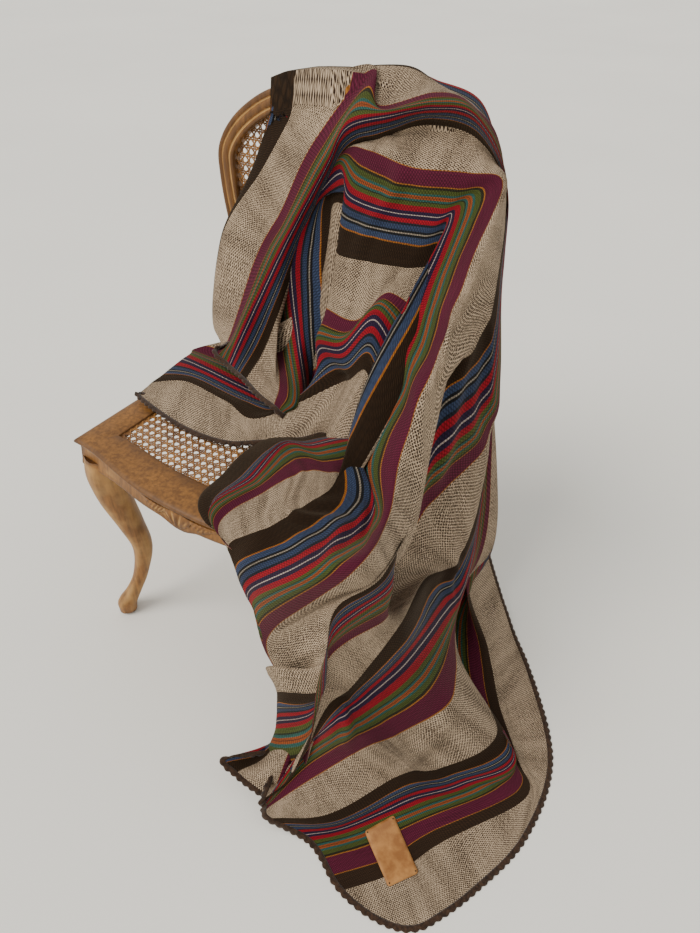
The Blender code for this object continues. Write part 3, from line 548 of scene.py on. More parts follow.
@dataclass(frozen=True)
class WaxedWood:
    """Carved beech, stained and waxed, worn pale on its edges and dark in its hollows."""

    name: str = "waxed_wood"
    light: Colour = (214, 170, 106)
    middle: Colour = (148, 100, 46)
    dark: Colour = (80, 50, 22)
    grain: Point = (60.0, 60.0, 7.0)
    wear: float = 0.85

    def material(self) -> bpy.types.Material:
        """Build the wood's nodes.

        Returns:
            The finished material.
        """
        graph = Graph(self.name)
        geometry = graph.node("ShaderNodeNewGeometry").outputs
        place = geometry["Position"]
        dark, middle, light = linear(*self.dark), linear(*self.middle), linear(*self.light)
        lines = graph.noise(graph.scaled(place, *self.grain), 3.0, 5.0)
        pores = graph.noise(graph.scaled(place, *self.grain), 16.0, 3.0)
        stains = graph.noise(place, 9.0, 6.0)
        cloudy = graph.noise(place, 22.0, 4.0)
        body = graph.mix(graph.remap(lines, 0.36, 0.64, 0.0, 1.0), dark, middle)
        body = graph.mix(0.35, body, middle)
        body = graph.mix(graph.remap(stains, 0.42, 0.70, 0.0, 0.35), body, dark)
        rub = graph.math("ADD", geometry["Pointiness"], graph.remap(cloudy, 0.3, 0.7, -0.018, 0.018))
        worn = graph.mix(graph.remap(rub, 0.505, 0.555, 0.0, self.wear), body, light)
        colour = graph.mix(graph.remap(rub, 0.44, 0.495, 0.8, 0.0), worn, dark)
        return graph.dress(
            Base_Color=colour, Roughness=graph.remap(cloudy, 0.3, 0.7, 0.42, 0.6),
            Normal=graph.bump(pores, 0.0005, 0.35), Specular_IOR_Level=0.4,
        )


@dataclass(frozen=True)
class SplitCane:
    """Glossy split cane, honey coloured, with its fine lengthwise lines."""

    light: Colour = (172, 120, 60)
    dark: Colour = (98, 60, 25)

    def material(self) -> bpy.types.Material:
        """Build the cane's nodes.

        Returns:
            The finished material.
        """
        graph = Graph("split_cane")
        place = graph.place()
        cloudy = graph.noise(place, 45.0, 3.0)
        fine = graph.noise(place, 700.0, 2.0)
        clouds = graph.remap(cloudy, 0.3, 0.7, 0.0, 0.8)
        level = graph.math("ADD", clouds, graph.remap(fine, 0.3, 0.7, -0.2, 0.2))
        colour = graph.mix(level, linear(*self.dark), linear(*self.light))
        return graph.dress(
            Base_Color=colour, Roughness=0.42, Normal=graph.bump(fine, 0.0003, 0.4),
            Specular_IOR_Level=0.45,
        )


@dataclass(frozen=True)
class PlainFinish:
    """A smooth finish with a little cloudiness: metal, plastic or the floor."""

    name: str
    colour: Colour
    roughness: float
    metallic: float = 0.0
    scale: float = 40.0
    shade: float = 0.94

    def material(self) -> bpy.types.Material:
        """Build the finish's nodes.

        Returns:
            The finished material.
        """
        graph = Graph(self.name)
        cloudy = graph.noise(graph.place(), self.scale, 3.0)
        shaded = tuple(part * self.shade for part in self.colour)
        colour = graph.mix(cloudy, linear(*shaded), linear(*self.colour))
        return graph.dress(Base_Color=colour, Roughness=self.roughness, Metallic=self.metallic)


# Mesh helpers


@dataclass(frozen=True)
class ChairFrame:
    """Carries points from the chair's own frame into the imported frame."""

    shift: Vector

    @classmethod
    def from_frame(cls, half_width: float, back_y: float) -> "ChairFrame":
        """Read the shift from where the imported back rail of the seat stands.

        Args:
            half_width: Half the seat's width in the chair's frame.
            back_y: The seat's back edge in the chair's frame.

        Returns:
            The frame.
        """
        low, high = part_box("seat_rail_back")
        return cls(Vector((low[0] + half_width, high[1] - back_y, 0.0)))

    def place(self, obj: bpy.types.Object) -> bpy.types.Object:
        """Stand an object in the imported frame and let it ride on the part's one body.

        Args:
            obj: An object built in the chair's frame.

        Returns:
            The same object.
        """
        obj.location = self.shift
        bpy.context.view_layer.update()
        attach(obj, "root")
        return obj


def mesh_object(
    name: str,
    points: np.ndarray,
    faces: Iterable[Sequence[int]],
    material: bpy.types.Material,
    uv: np.ndarray | None = None,
    smooth: bool = True,
) -> bpy.types.Object:
    """Make an object from points and faces.

    Args:
        name: The object's name.
        points: One row for each vertex.
        faces: Vertex numbers of each face.
        material: Its finish.
        uv: Cloth coordinates of each vertex, if it needs them.
        smooth: True for smooth shading.

    Returns:
        The object, linked to the scene.
    """
    mesh = bpy.data.meshes.new(name)
    mesh.from_pydata([tuple(p) for p in np.asarray(points, float)], [], [tuple(f) for f in faces])
    mesh.validate()
    if uv is not None:
        layer = mesh.uv_layers.new(name="cloth")
        corners = np.empty(len(mesh.loops), dtype=np.int32)
        mesh.loops.foreach_get("vertex_index", corners)
        layer.data.foreach_set("uv", np.asarray(uv, np.float32)[corners].ravel())
    if smooth:
        mesh.shade_smooth()
    mesh.materials.append(material)
    mesh.update()
    obj = bpy.data.objects.new(name, mesh)
    bpy.context.scene.collection.objects.link(obj)
    return obj


def grid_faces(
    rows: int, columns: int, close_rows: bool = False, close_columns: bool = False
) -> list[tuple[int, ...]]:
    """Quads of a grid of points.

    Args:
        rows: Number of rows of points.
        columns: Points in a row.
        close_rows: True if the last row joins the first.
        close_columns: True if each row's last point joins its first.

    Returns:
        The four vertex numbers of each quad.
    """
    faces = []
    for i in range(rows if close_rows else rows - 1):
        for j in range(columns if close_columns else columns - 1):
            a, b = i * columns, (i + 1) % rows * columns
            k = (j + 1) % columns
            faces.append((a + j, a + k, b + k, b + j))
    return faces


def cubic_weights(position: np.ndarray, count: int) -> tuple[np.ndarray, np.ndarray]:
    """Neighbours and weights for reading a smooth curve through points.

    The weights are those of a Catmull-Rom curve, which runs out straight at both ends.

    Args:
        position: Places to read, in steps along the curve.
        count: How many points the curve has.

    Returns:
        The four neighbours of each place, and their weights.
    """
    cell = np.clip(np.floor(position).astype(int), 0, count - 2)
    t = position - cell
    weights = np.stack([
        -0.5 * t + t**2 - 0.5 * t**3,
        1 - 2.5 * t**2 + 1.5 * t**3,
        0.5 * t + 2 * t**2 - 1.5 * t**3,
        -0.5 * t**2 + 0.5 * t**3,
    ], axis=-1)
    for where, outer, end, inner in ((cell == 0, 0, 1, 2), (cell == count - 2, 3, 2, 1)):
        weights[where, end] += 2 * weights[where, outer]
        weights[where, inner] -= weights[where, outer]
        weights[where, outer] = 0
    return np.clip(cell[..., None] + np.arange(-1, 3), 0, count - 1), weights


def smooth_through(points: Sequence[Sequence[float]], samples: int) -> np.ndarray:
    """Points spread along a smooth curve.

    Args:
        points: The points that the curve runs through.
        samples: How many points to give back.

    Returns:
        One row for each sample.
    """
    table = np.asarray(points, float)
    near, weights = cubic_weights(np.linspace(0, len(table) - 1, samples), len(table))
    return np.einsum("sk,skd->sd", weights, table[near])


def fade(value: np.ndarray) -> np.ndarray:
    """A smooth step from 0 to 1."""
    t = np.clip(value, 0, 1)
    return t * t * (3 - 2 * t)


def grid_normals(points: np.ndarray) -> np.ndarray:
    """Unit normals of a grid of points.

    Args:
        points: Rows and columns of points.

    Returns:
        One normal for each point.
    """
    down, right = np.gradient(points, axis=0), np.gradient(points, axis=1)
    cross = np.cross(right, down)
    return cross / np.maximum(np.linalg.norm(cross, axis=-1), TINY)[..., None]


# The throw


@dataclass(frozen=True)
class Crease:
    """A fold pressed or pulled into the cloth, along a line of cloth coordinates.

    A path point is (metres along the stripes, metres across them). A height above zero
    raises the side of the cloth that faces out. A shallow trough, whose place is counted in
    widths of the crease, runs along both sides.
    """

    path: tuple[tuple[float, float], ...]
    height: float
    width: float
    end_taper: float = 0.7
    trough_depth: float = 0.35
    trough_place: float = 1.7
    trough_tightness: float = 1.5
    samples: int = 10

    def lift(self, along: np.ndarray, across: np.ndarray) -> np.ndarray:
        """How far the crease moves each point of the cloth.

        Args:
            along: Metres along the stripes.
            across: Metres across the stripes.

        Returns:
            The lift of each point, in metres.
        """
        line = smooth_through(self.path, self.samples * len(self.path))
        best = np.full(along.shape, np.inf)
        taper = np.zeros(along.shape)
        share = np.linspace(0, 1, len(line))
        for k in range(len(line) - 1):
            start, run = line[k], line[k + 1] - line[k]
            passed = (along - start[0]) * run[0] + (across - start[1]) * run[1]
            t = np.clip(passed / max(run @ run, TINY), 0, 1)
            gap = np.hypot(along - start[0] - t * run[0], across - start[1] - t * run[1])
            nearer = gap < best
            best = np.where(nearer, gap, best)
            taper = np.where(nearer, share[k] + t / (len(line) - 1), taper)
        ends = np.sin(np.pi * np.clip(taper, 0, 1)) ** self.end_taper
        r = best / self.width
        trough = self.trough_depth * np.exp(-((r - self.trough_place) ** 2) * self.trough_tightness)
        return self.height * ends * (np.exp(-r * r) - trough)


@dataclass
class Throw:
    """The striped throw: its cloth, its crocheted edging and its leather patch.

    The fields from `clearance` on say how the cloth keeps off the chair: the room left under
    its middle, the extra room over the crest, the step up to the cloth that lies on top there
    and how far across that reaches, how far down the crest's rule reaches, and where the back,
    the seat and the apron end.
    """

    chair_frame: ChairFrame
    creases: tuple[Crease, ...] = ()
    length: float = 1.80
    width: float = 1.30
    corner: float = 0.12
    thickness: float = 0.0024
    quads_across: int = 236
    quads_along: int = 330
    rumple: float = 0.0016
    rumple_scale: tuple[float, float] = (9.0, 13.0)
    rumple_roughness: float = 0.9
    rumple_spread: float = 2.0
    rumple_layers: int = 3
    clearance: float = 0.0055
    crest_lift: float = 0.007
    layer_step: float = 0.009
    top_layer_edge: float = 0.835
    crest_reach: float = 0.045
    back_foot: float = 0.07
    foot_half_width: float = 0.2
    seat_depth: float = 0.03
    apron_foot: float = 0.37
    lip_gaps: float = 2.5

    def rounded(self, along: np.ndarray, across: np.ndarray) -> tuple[np.ndarray, np.ndarray]:
        """Pull cloth coordinates in at the four corners, so that they are round.

        Args:
            along: Metres along the stripes.
            across: Metres across the stripes.

        Returns:
            Both coordinates, pulled in.
        """
        end = np.minimum(along, self.length - along)
        side = np.minimum(across, self.width - across)
        p = np.maximum(self.corner - end, 0)
        q = np.maximum(self.corner - side, 0)
        both = (p > 0) & (q > 0)
        scale = np.where(both, np.maximum(p, q) / np.maximum(np.hypot(p, q), TINY), 1.0)
        end = np.where(both, self.corner - p * scale, end)
        side = np.where(both, self.corner - q * scale, side)
        along = np.where(along > self.length / 2, self.length - end, end)
        across = np.where(across > self.width / 2, self.width - side, side)
        return along, across

    def surface(self, along: np.ndarray, across: np.ndarray) -> np.ndarray:
        """Places of the smooth folds at the given cloth coordinates.

        Args:
            along: Metres along the stripes.
            across: Metres across the stripes.

        Returns:
            One point for each pair of coordinates, in the chair's frame.
        """
        rows = np.array([row[2] for row in FOLDS], float) / CM_PER_METRE
        row_at = np.interp(across, [row[1] for row in FOLDS], np.arange(len(FOLDS)))
        station_at = np.interp(along, [s[1] for s in STATIONS], np.arange(len(STATIONS)))
        r, rw = cubic_weights(row_at, len(FOLDS))
        s, sw = cubic_weights(station_at, len(STATIONS))
        near = rows[r[..., :, None], s[..., None, :]]
        return np.einsum("...r,...s,...rsd->...d", rw, sw, near)

    def clear_of_chair(self, points: np.ndarray, across: np.ndarray) -> np.ndarray:
        """Push points off the chair's back and seat, and up to the floor.

        Args:
            points: The cloth's points.
            across: Metres across the stripes at each point, which tells its layer.

        Returns:
            The points, clear of the chair.
        """
        points = points.copy()
        x, y, z = points[..., 0], points[..., 1], points[..., 2]
        rake = math.tan(Back.rake)
        crest = np.array(Back.crest)
        crest_top = np.interp(np.abs(x), crest[::-1, 0], crest[::-1, 1], right=0.0)
        height = (z - Seat.top) / math.cos(Back.rake)
        front = Back.foot_y + rake * (z - Seat.top) - self.clearance
        rear = front + Back.thickness + 2 * self.clearance
        outline = np.array(sorted((h, w) for w, h in (*Back.side, *Back.crest[1:])))
        reach = np.interp(height, outline[:, 0], outline[:, 1], left=self.foot_half_width, right=0.0)
        crest_lift = self.crest_lift + np.where(across < self.top_layer_edge, self.layer_step, 0.0)
        over_top = crest_top + crest_lift - height
        through = (y > front) & (y < rear) & (height > self.back_foot) & (over_top > 0)
        near_top = through & (crest_top > 0) & (over_top < self.crest_reach)
        height = np.where(near_top, crest_top + crest_lift, height)
        points[..., 2] = Seat.top + height * math.cos(Back.rake)
        z = points[..., 2]
        inside = through & ~near_top & (np.abs(x) < reach + self.clearance)
        points[..., 1] = np.where(inside, np.where(y - front < rear - y, front, rear), y)
        y = points[..., 1]
        lip = Seat.front_y - Seat.bulge_at(x) - self.lip_gaps * self.clearance
        over = (y > lip) & (y < Seat.back_y) & (np.abs(x) < Seat.half_width + self.clearance)
        low = over & (z < Seat.top + self.clearance) & (z > Seat.top - self.seat_depth)
        points[..., 2] = np.where(low, Seat.top + self.clearance, z)
        below = over & (z <= Seat.top - self.seat_depth) & (z > self.apron_foot)
        points[..., 1] = np.where(below, lip, y)
        points[..., 2] = np.maximum(points[..., 2], self.thickness / 2)
        return points

    def folded(self) -> tuple[np.ndarray, np.ndarray]:
        """Lay the cloth on its folds, with its creases and its rumples.

        Returns:
            The grid of points, and the cloth coordinates of each.
        """
        across = np.linspace(0, self.width, self.quads_across + 1)[:, None] + np.zeros(self.quads_along + 1)
        along = np.linspace(0, self.length, self.quads_along + 1) + np.zeros_like(across)
        along, across = self.rounded(along, across)
        points = self.clear_of_chair(self.surface(along, across), across)
        lift = np.zeros(along.shape)
        for crease in self.creases:
            lift += crease.lift(along, across)
        along_scale, across_scale = self.rumple_scale
        for i, j in np.ndindex(lift.shape):
            place = Vector((along[i, j] * along_scale, across[i, j] * across_scale, 0.0))
            rough = noise.fractal(place, self.rumple_roughness, self.rumple_spread, self.rumple_layers)
            lift[i, j] += self.rumple * rough
        points = points + lift[..., None] * grid_normals(points)
        return self.clear_of_chair(points, across), np.stack([across, along], axis=-1)

    def build_cloth(self, grid: np.ndarray, coordinates: np.ndarray) -> bpy.types.Object:
        """The cloth, as one thin sheet.

        Args:
            grid: The folded cloth's points.
            coordinates: The cloth coordinates of each.

        Returns:
            The cloth's object.
        """
        faces = grid_faces(*grid.shape[:2])
        uv = coordinates.reshape(-1, 2)
        cloth = mesh_object(Piece.THROW.value, grid.reshape(-1, 3), faces, StripedWool().material(), uv)
        self.chair_frame.place(cloth)
        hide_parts("throw")
        return cloth

    def build(self) -> None:
        """Build the cloth and all that is worked or fixed on it."""
        grid, coordinates = self.folded()
        cloth = self.build_cloth(grid, coordinates)
        log.info("%s: %d by %d quads", cloth.name, self.quads_across, self.quads_along)
        edging = Edging(self.chair_frame, grid).build()
        log.info("%s: %d faces", edging.name, len(edging.data.polygons))
        label = Patch(self.chair_frame, grid).build()
        log.info("%s and %s", *[piece.name for piece in label])


@dataclass
class Edging:
    """The crocheted edging: scallops of thick plied yarn worked round the whole hem."""

    chair_frame: ChairFrame
    grid: np.ndarray
    width: float = 0.0105
    height: float = 0.0038
    overlap: float = 0.0025
    scallop: float = 0.0125
    scallop_base: float = 0.72
    scallop_rise: float = 0.28
    ply: float = 0.16
    plies: int = 3
    step: float = 0.0017
    sides: int = 10
    inset: int = 2
    rounds: int = 4

    def rim(self) -> tuple[np.ndarray, np.ndarray]:
        """The cloth's edge all the way round, and the points a little inside it.

        Returns:
            The edge points and the inner points, in the same order, each row closed.
        """
        g, k = self.grid, self.inset
        edge = np.concatenate([g[0, :-1], g[:-1, -1], g[-1, :0:-1], g[:0:-1, 0], g[0, :1]])
        inner = np.concatenate([g[k, :-1], g[:-1, -1 - k], g[-1 - k, :0:-1], g[:0:-1, k], g[k, :1]])
        return edge, inner

    def directions(self, path: np.ndarray, inside: np.ndarray) -> tuple[np.ndarray, np.ndarray]:
        """Which way the edging stands out from the hem, and which way is up from the cloth.

        Args:
            path: Points along the hem.
            inside: The matching points inside the cloth.

        Returns:
            The unit directions out and up at each point.
        """
        outward = path - inside
        ahead = np.roll(path, -2, axis=0) - np.roll(path, 2, axis=0)
        for _ in range(self.rounds):
            outward = (np.roll(outward, 1, axis=0) + outward + np.roll(outward, -1, axis=0)) / 3
            ahead = (np.roll(ahead, 1, axis=0) + ahead + np.roll(ahead, -1, axis=0)) / 3
        ahead /= np.maximum(np.linalg.norm(ahead, axis=1), TINY)[:, None]
        outward -= np.sum(outward * ahead, axis=1)[:, None] * ahead
        outward /= np.maximum(np.linalg.norm(outward, axis=1), TINY)[:, None]
        return outward, np.cross(ahead, outward)

    def build(self) -> bpy.types.Object:
        """Work the yarn round the hem.

        Returns:
            The edging's object.
        """
        edge, inner = self.rim()
        steps = np.linalg.norm(np.diff(edge, axis=0), axis=1)
        run = np.concatenate([[0], np.cumsum(steps)])
        count = int(run[-1] / self.step)
        at = np.linspace(0, run[-1], count, endpoint=False)
        path = np.stack([np.interp(at, run, edge[:, k]) for k in range(3)], axis=1)
        inside = np.stack([np.interp(at, run, inner[:, k]) for k in range(3)], axis=1)
        outward, up = self.directions(path, inside)
        scallops = max(1, round(run[-1] / self.scallop))
        phase = at / run[-1] * scallops
        reach = self.width * (self.scallop_base + self.scallop_rise * np.abs(np.sin(np.pi * phase)))
        rings = []
        for angle in np.arange(self.sides) / self.sides * 2 * np.pi:
            swell = 1 + self.ply * np.sin(2 * np.pi * phase * self.plies + angle)
            out = (0.5 + 0.5 * np.cos(angle)) * reach - self.overlap
            high = np.sin(angle) * self.height / 2 * swell
            rings.append(path + out[:, None] * outward + high[:, None] * up)
        tube = np.stack(rings, axis=1)
        tube[..., 2] = np.maximum(tube[..., 2], 0.0)
        faces = grid_faces(count, self.sides, close_rows=True, close_columns=True)
        edging = mesh_object(Piece.EDGING.value, tube.reshape(-1, 3), faces, BrownYarn().material())
        self.chair_frame.place(edging)
        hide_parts("edging_back_hem", "edging_front_hem", "edging_first_end")
        return edging


@dataclass
class Patch:
    """The bare leather patch, lying on the cloth, with a domed fixing in each corner.

    Its height is read by looking down on the cloth from `look_from`. A place over `highest`
    isn't the floor's part of the cloth, and takes `usual_height`. The patch is stiffer than the
    cloth: in each smoothing round it moves up freely, but down by no more than `sag`. A ring of
    a fixing is its radius and its height over the patch.
    """

    chair_frame: ChairFrame
    grid: np.ndarray
    width: float = 0.052
    length: float = 0.088
    thickness: float = 0.0016
    middle: tuple[float, float] = (0.445, -0.326)
    turn: float = math.radians(56)
    corner: float = 0.004
    lift: float = 0.001
    edge_width: float = 0.002
    edge_share: float = 0.55
    crown_share: float = 0.45
    rows: int = 15
    columns: int = 23
    look_from: float = 0.3
    highest: float = 0.1
    usual_height: float = 0.01
    rounds: int = 30
    sag: float = 0.0004
    fixing_sides: int = 12
    fixing_rings: tuple[tuple[float, float], ...] = ((0.0013, -0.0004), (0.0012, 0.0003), (0.0007, 0.0006))

    def plan(self) -> tuple[np.ndarray, np.ndarray]:
        """The flat patch round its own middle, with round corners.

        Returns:
            The place of each point across the patch, and along it.
        """
        a = np.linspace(-self.width / 2, self.width / 2, self.rows)[:, None] + np.zeros(self.columns)
        b = np.linspace(-self.length / 2, self.length / 2, self.columns) + np.zeros_like(a)
        p = np.maximum(np.abs(a) - self.width / 2 + self.corner, 0)
        q = np.maximum(np.abs(b) - self.length / 2 + self.corner, 0)
        over = np.hypot(p, q)
        trim = np.where(over > self.corner, self.corner / np.maximum(over, TINY), 1.0)
        a = np.sign(a) * (np.abs(a) - p * (1 - trim))
        b = np.sign(b) * (np.abs(b) - q * (1 - trim))
        return a, b

    def heights(self, x: np.ndarray, y: np.ndarray) -> np.ndarray:
        """How high the patch lies on the cloth.

        Args:
            x: Each point's place to the right.
            y: Each point's place backwards.

        Returns:
            The height of each point.
        """
        points = [Vector(p) for p in self.grid.reshape(-1, 3)]
        tree = BVHTree.FromPolygons(points, grid_faces(*self.grid.shape[:2]))
        z = np.zeros_like(x)
        for i, j in np.ndindex(z.shape):
            hit = tree.ray_cast(Vector((x[i, j], y[i, j], self.look_from)), Vector((0, 0, -1)))[0]
            z[i, j] = hit.z if hit and hit.z < self.highest else self.usual_height
        for _ in range(self.rounds):
            soft = z.copy()
            soft[1:-1, 1:-1] = (z[:-2, 1:-1] + z[2:, 1:-1] + z[1:-1, :-2] + z[1:-1, 2:]) / 4
            z = np.maximum(soft, z - self.sag)
        return z

    def faces(self) -> list[tuple[int, ...]]:
        """The patch's top, underside and rim.

        Returns:
            Vertex numbers of each face, with the upper points after the lower ones.
        """
        rows, columns = self.rows, self.columns
        count = rows * columns
        sheet = grid_faces(rows, columns)
        loop = [*range(columns), *range(2 * columns - 1, count, columns)]
        loop += range(count - 2, count - columns - 1, -1)
        loop += range(count - 2 * columns, 0, -columns)
        walls = [(m, n, n + count, m + count) for m, n in zip(loop, loop[1:] + loop[:1])]
        return [tuple(reversed(f)) for f in sheet] + [tuple(k + count for k in f) for f in sheet] + walls

    def build(self) -> list[bpy.types.Object]:
        """Lay the patch on the cloth and fix its corners.

        Returns:
            The patch and its fixings.
        """
        a, b = self.plan()
        cos, sin = math.cos(self.turn), math.sin(self.turn)
        x = self.middle[0] + a * cos - b * sin
        y = self.middle[1] + a * sin + b * cos
        z = self.heights(x, y)
        rim = np.minimum(self.width / 2 - np.abs(a), self.length / 2 - np.abs(b))
        crown = self.thickness * (self.edge_share + self.crown_share * fade(rim / self.edge_width))
        low = np.stack([x, y, z + self.lift], axis=-1).reshape(-1, 3)
        high = np.stack([x, y, z + self.lift + crown], axis=-1).reshape(-1, 3)
        points = np.vstack([low, high])
        label = mesh_object(Piece.LABEL.value, points, self.faces(), TanLeather().material())
        self.chair_frame.place(label)
        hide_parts("label")
        top = np.stack([x, y, z + self.lift + self.thickness], axis=-1)
        return [label, self.build_fixings(top)]

    def build_fixings(self, top: np.ndarray) -> bpy.types.Object:
        """A small dark domed fixing in each corner of the patch.

        Args:
            top: The points of the patch's upper face.

        Returns:
            The fixings' object.
        """
        sides = self.fixing_sides
        turns = np.arange(sides) / sides * 2 * math.pi
        points: list[Point] = []
        faces: list[tuple] = []
        for corner in ((1, 1), (1, -2), (-2, 1), (-2, -2)):
            middle = Vector(top[corner])
            start = len(points)
            for r, h in self.fixing_rings:
                points += [tuple(middle + Vector((r * math.cos(t), r * math.sin(t), h))) for t in turns]
            rings = grid_faces(len(self.fixing_rings), sides, close_columns=True)
            faces += [tuple(start + k for k in f) for f in rings]
            faces.append(tuple(range(len(points) - sides, len(points))))
            faces.append(tuple(reversed(range(start, start + sides))))
        finish = PlainFinish("dark_brass", (74, 58, 40), 0.4, 0.8, 400.0)
        fixings = mesh_object(Piece.FIXINGS.value, np.array(points), faces, finish.material())
        self.chair_frame.place(fixings)
        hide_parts(*[f"label_rivet_{n}" for n in range(1, 5)])
        return fixings


# The chair


@dataclass
class Seat:
    """The seat: a moulded frame with a shaped apron, a carved shell and a cane panel.

    The apron's depth is given along the front and along the sides, with what it gains at the
    front corners, in the middle of the front, and at both ends of a side. Each span
    says where such a gain starts and over what length it comes in, as shares of half the front
    or of the side.
    """

    chair_frame: ChairFrame
    wood: bpy.types.Material
    cane: bpy.types.Material
    top: float = 0.450
    half_width: float = 0.265
    front_y: float = -0.210
    back_y: float = 0.228
    bulge: float = 0.036
    bulge_power: float = 1.25
    inset_share: float = 0.8
    straight_inset: float = 0.12
    front_points: int = 61
    side_points: int = 30
    back_points: int = 31
    apron_front: float = 0.042
    apron_corner: float = 0.016
    apron_middle: float = 0.010
    apron_side: float = 0.040
    apron_side_front: float = 0.018
    apron_side_back: float = 0.006
    corner_span: tuple[float, float] = (0.45, 0.5)
    middle_span: tuple[float, float] = (0.16, 0.14)
    side_front_length: float = 0.22
    side_back_span: tuple[float, float] = (0.85, 0.15)
    # The frame's section: how far inside the outline, how far above the top, and the share of
    # the apron's depth below that
    profile: tuple[Point, ...] = (
        (0.060, -0.0100, 0), (0.060, -0.0010, 0), (0.058, 0.0, 0), (0.034, 0.0, 0), (0.016, -0.0004, 0),
        (0.008, -0.0012, 0), (0.003, -0.0024, 0), (0.0006, -0.0048, 0), (0.0, -0.0072, 0),
        (0.0008, -0.0094, 0), (0.0034, -0.0108, 0), (0.0062, -0.0128, 0), (0.0074, -0.0160, 0),
        (0.0068, 0.0, 0.42), (0.0056, 0.0, 0.60), (0.0046, 0.0, 0.76), (0.0034, 0.0, 0.86),
        (0.0030, 0.0, 0.93), (0.0042, 0.0, 0.98), (0.0080, 0.0, 1.0), (0.0200, 0.0, 0.99),
        (0.0300, 0.0, 0.90), (0.0300, -0.0200, 0),
    )
    panel_inset: float = 0.058
    panel_drop: float = 0.0035

    @classmethod
    def bulge_at(cls, x: np.ndarray) -> np.ndarray:
        """How far the front edge stands forward of its corners."""
        t = np.clip(np.abs(x) / cls.half_width, 0, 1)
        return cls.bulge * 0.5 * (1 + np.cos(math.pi * t**cls.bulge_power))

    def outline(self, inset: float) -> np.ndarray:
        """The seat's outline in plan, moved inwards, from the front left corner round.

        Args:
            inset: How far inside the outer edge.

        Returns:
            Plan points, the same number for every inset.
        """
        half = self.half_width - inset
        depth = inset * self.inset_share
        ease = np.linspace(-1, 1, self.front_points)
        forward = (1 - inset / self.straight_inset) * self.bulge_at(ease * self.half_width)
        front = np.stack([ease * half, self.front_y + depth - forward], axis=1)
        side_y = np.linspace(self.front_y + depth, self.back_y - depth, self.side_points + 2)[1:-1]
        right = np.stack([np.full(self.side_points, half), side_y], axis=1)
        back_x = np.linspace(half, -half, self.back_points)
        back = np.stack([back_x, np.full(self.back_points, self.back_y - depth)], axis=1)
        left = right[::-1] * (-1, 1)
        return np.concatenate([front, right, back, left])

    def apron_depth(self, plan: np.ndarray) -> np.ndarray:
        """How far the apron hangs below the seat's top.

        Args:
            plan: Points of the outer outline.

        Returns:
            The depth at each point.
        """
        x, y = plan[:, 0], plan[:, 1]
        t = np.clip(np.abs(x) / self.half_width, 0, 1)
        start, length = self.corner_span
        corner = self.apron_corner * fade((t - start) / length)
        start, length = self.middle_span
        wave = self.apron_front + corner + self.apron_middle * fade((start - t) / length)
        along = np.clip((y - self.front_y) / (self.back_y - self.front_y), 0, 1)
        front_end = self.apron_side_front * (1 - fade(along / self.side_front_length))
        start, length = self.side_back_span
        side = self.apron_side + front_end + self.apron_side_back * fade((along - start) / length)
        at_front = y < self.front_y + 0.001
        return np.where(at_front, wave, side)

    def build_frame(self) -> bpy.types.Object:
        """The moulded frame with its apron.

        Returns:
            The frame's object.
        """
        depth = self.apron_depth(self.outline(0.0))
        rings = []
        for inset, rise, share in self.profile:
            z = self.top + rise - share * depth
            rings.append(np.column_stack([self.outline(inset), z]))
        grid = np.stack(rings, axis=0)
        faces = grid_faces(*grid.shape[:2], close_rows=True, close_columns=True)
        seat = mesh_object(Piece.SEAT.value, grid.reshape(-1, 3), faces, self.wood)
        self.chair_frame.place(seat)
        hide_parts(*[f"seat_rail_{side}" for side in ("front", "left", "right", "back")])
        return seat

    def build_cane(self) -> bpy.types.Object:
        """The woven panel in the seat.

        Returns:
            The panel's object.
        """
        level = self.top - self.panel_drop
        weave = CaneWeave(self.outline(self.panel_inset), lambda u, v, w: (u, v, level + w), self.cane)
        panel = weave.build(Piece.SEAT_CANE.value)
        self.chair_frame.place(panel)
        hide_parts("cane_seat")
        return panel

    def build(self) -> None:
        """Build the seat's frame, carving and cane."""
        carving = ShellCarving(self.chair_frame, self.wood)
        for piece in (self.build_frame(), carving.build(), self.build_cane()):
            log.info("%s: %d faces", piece.name, len(piece.data.polygons))


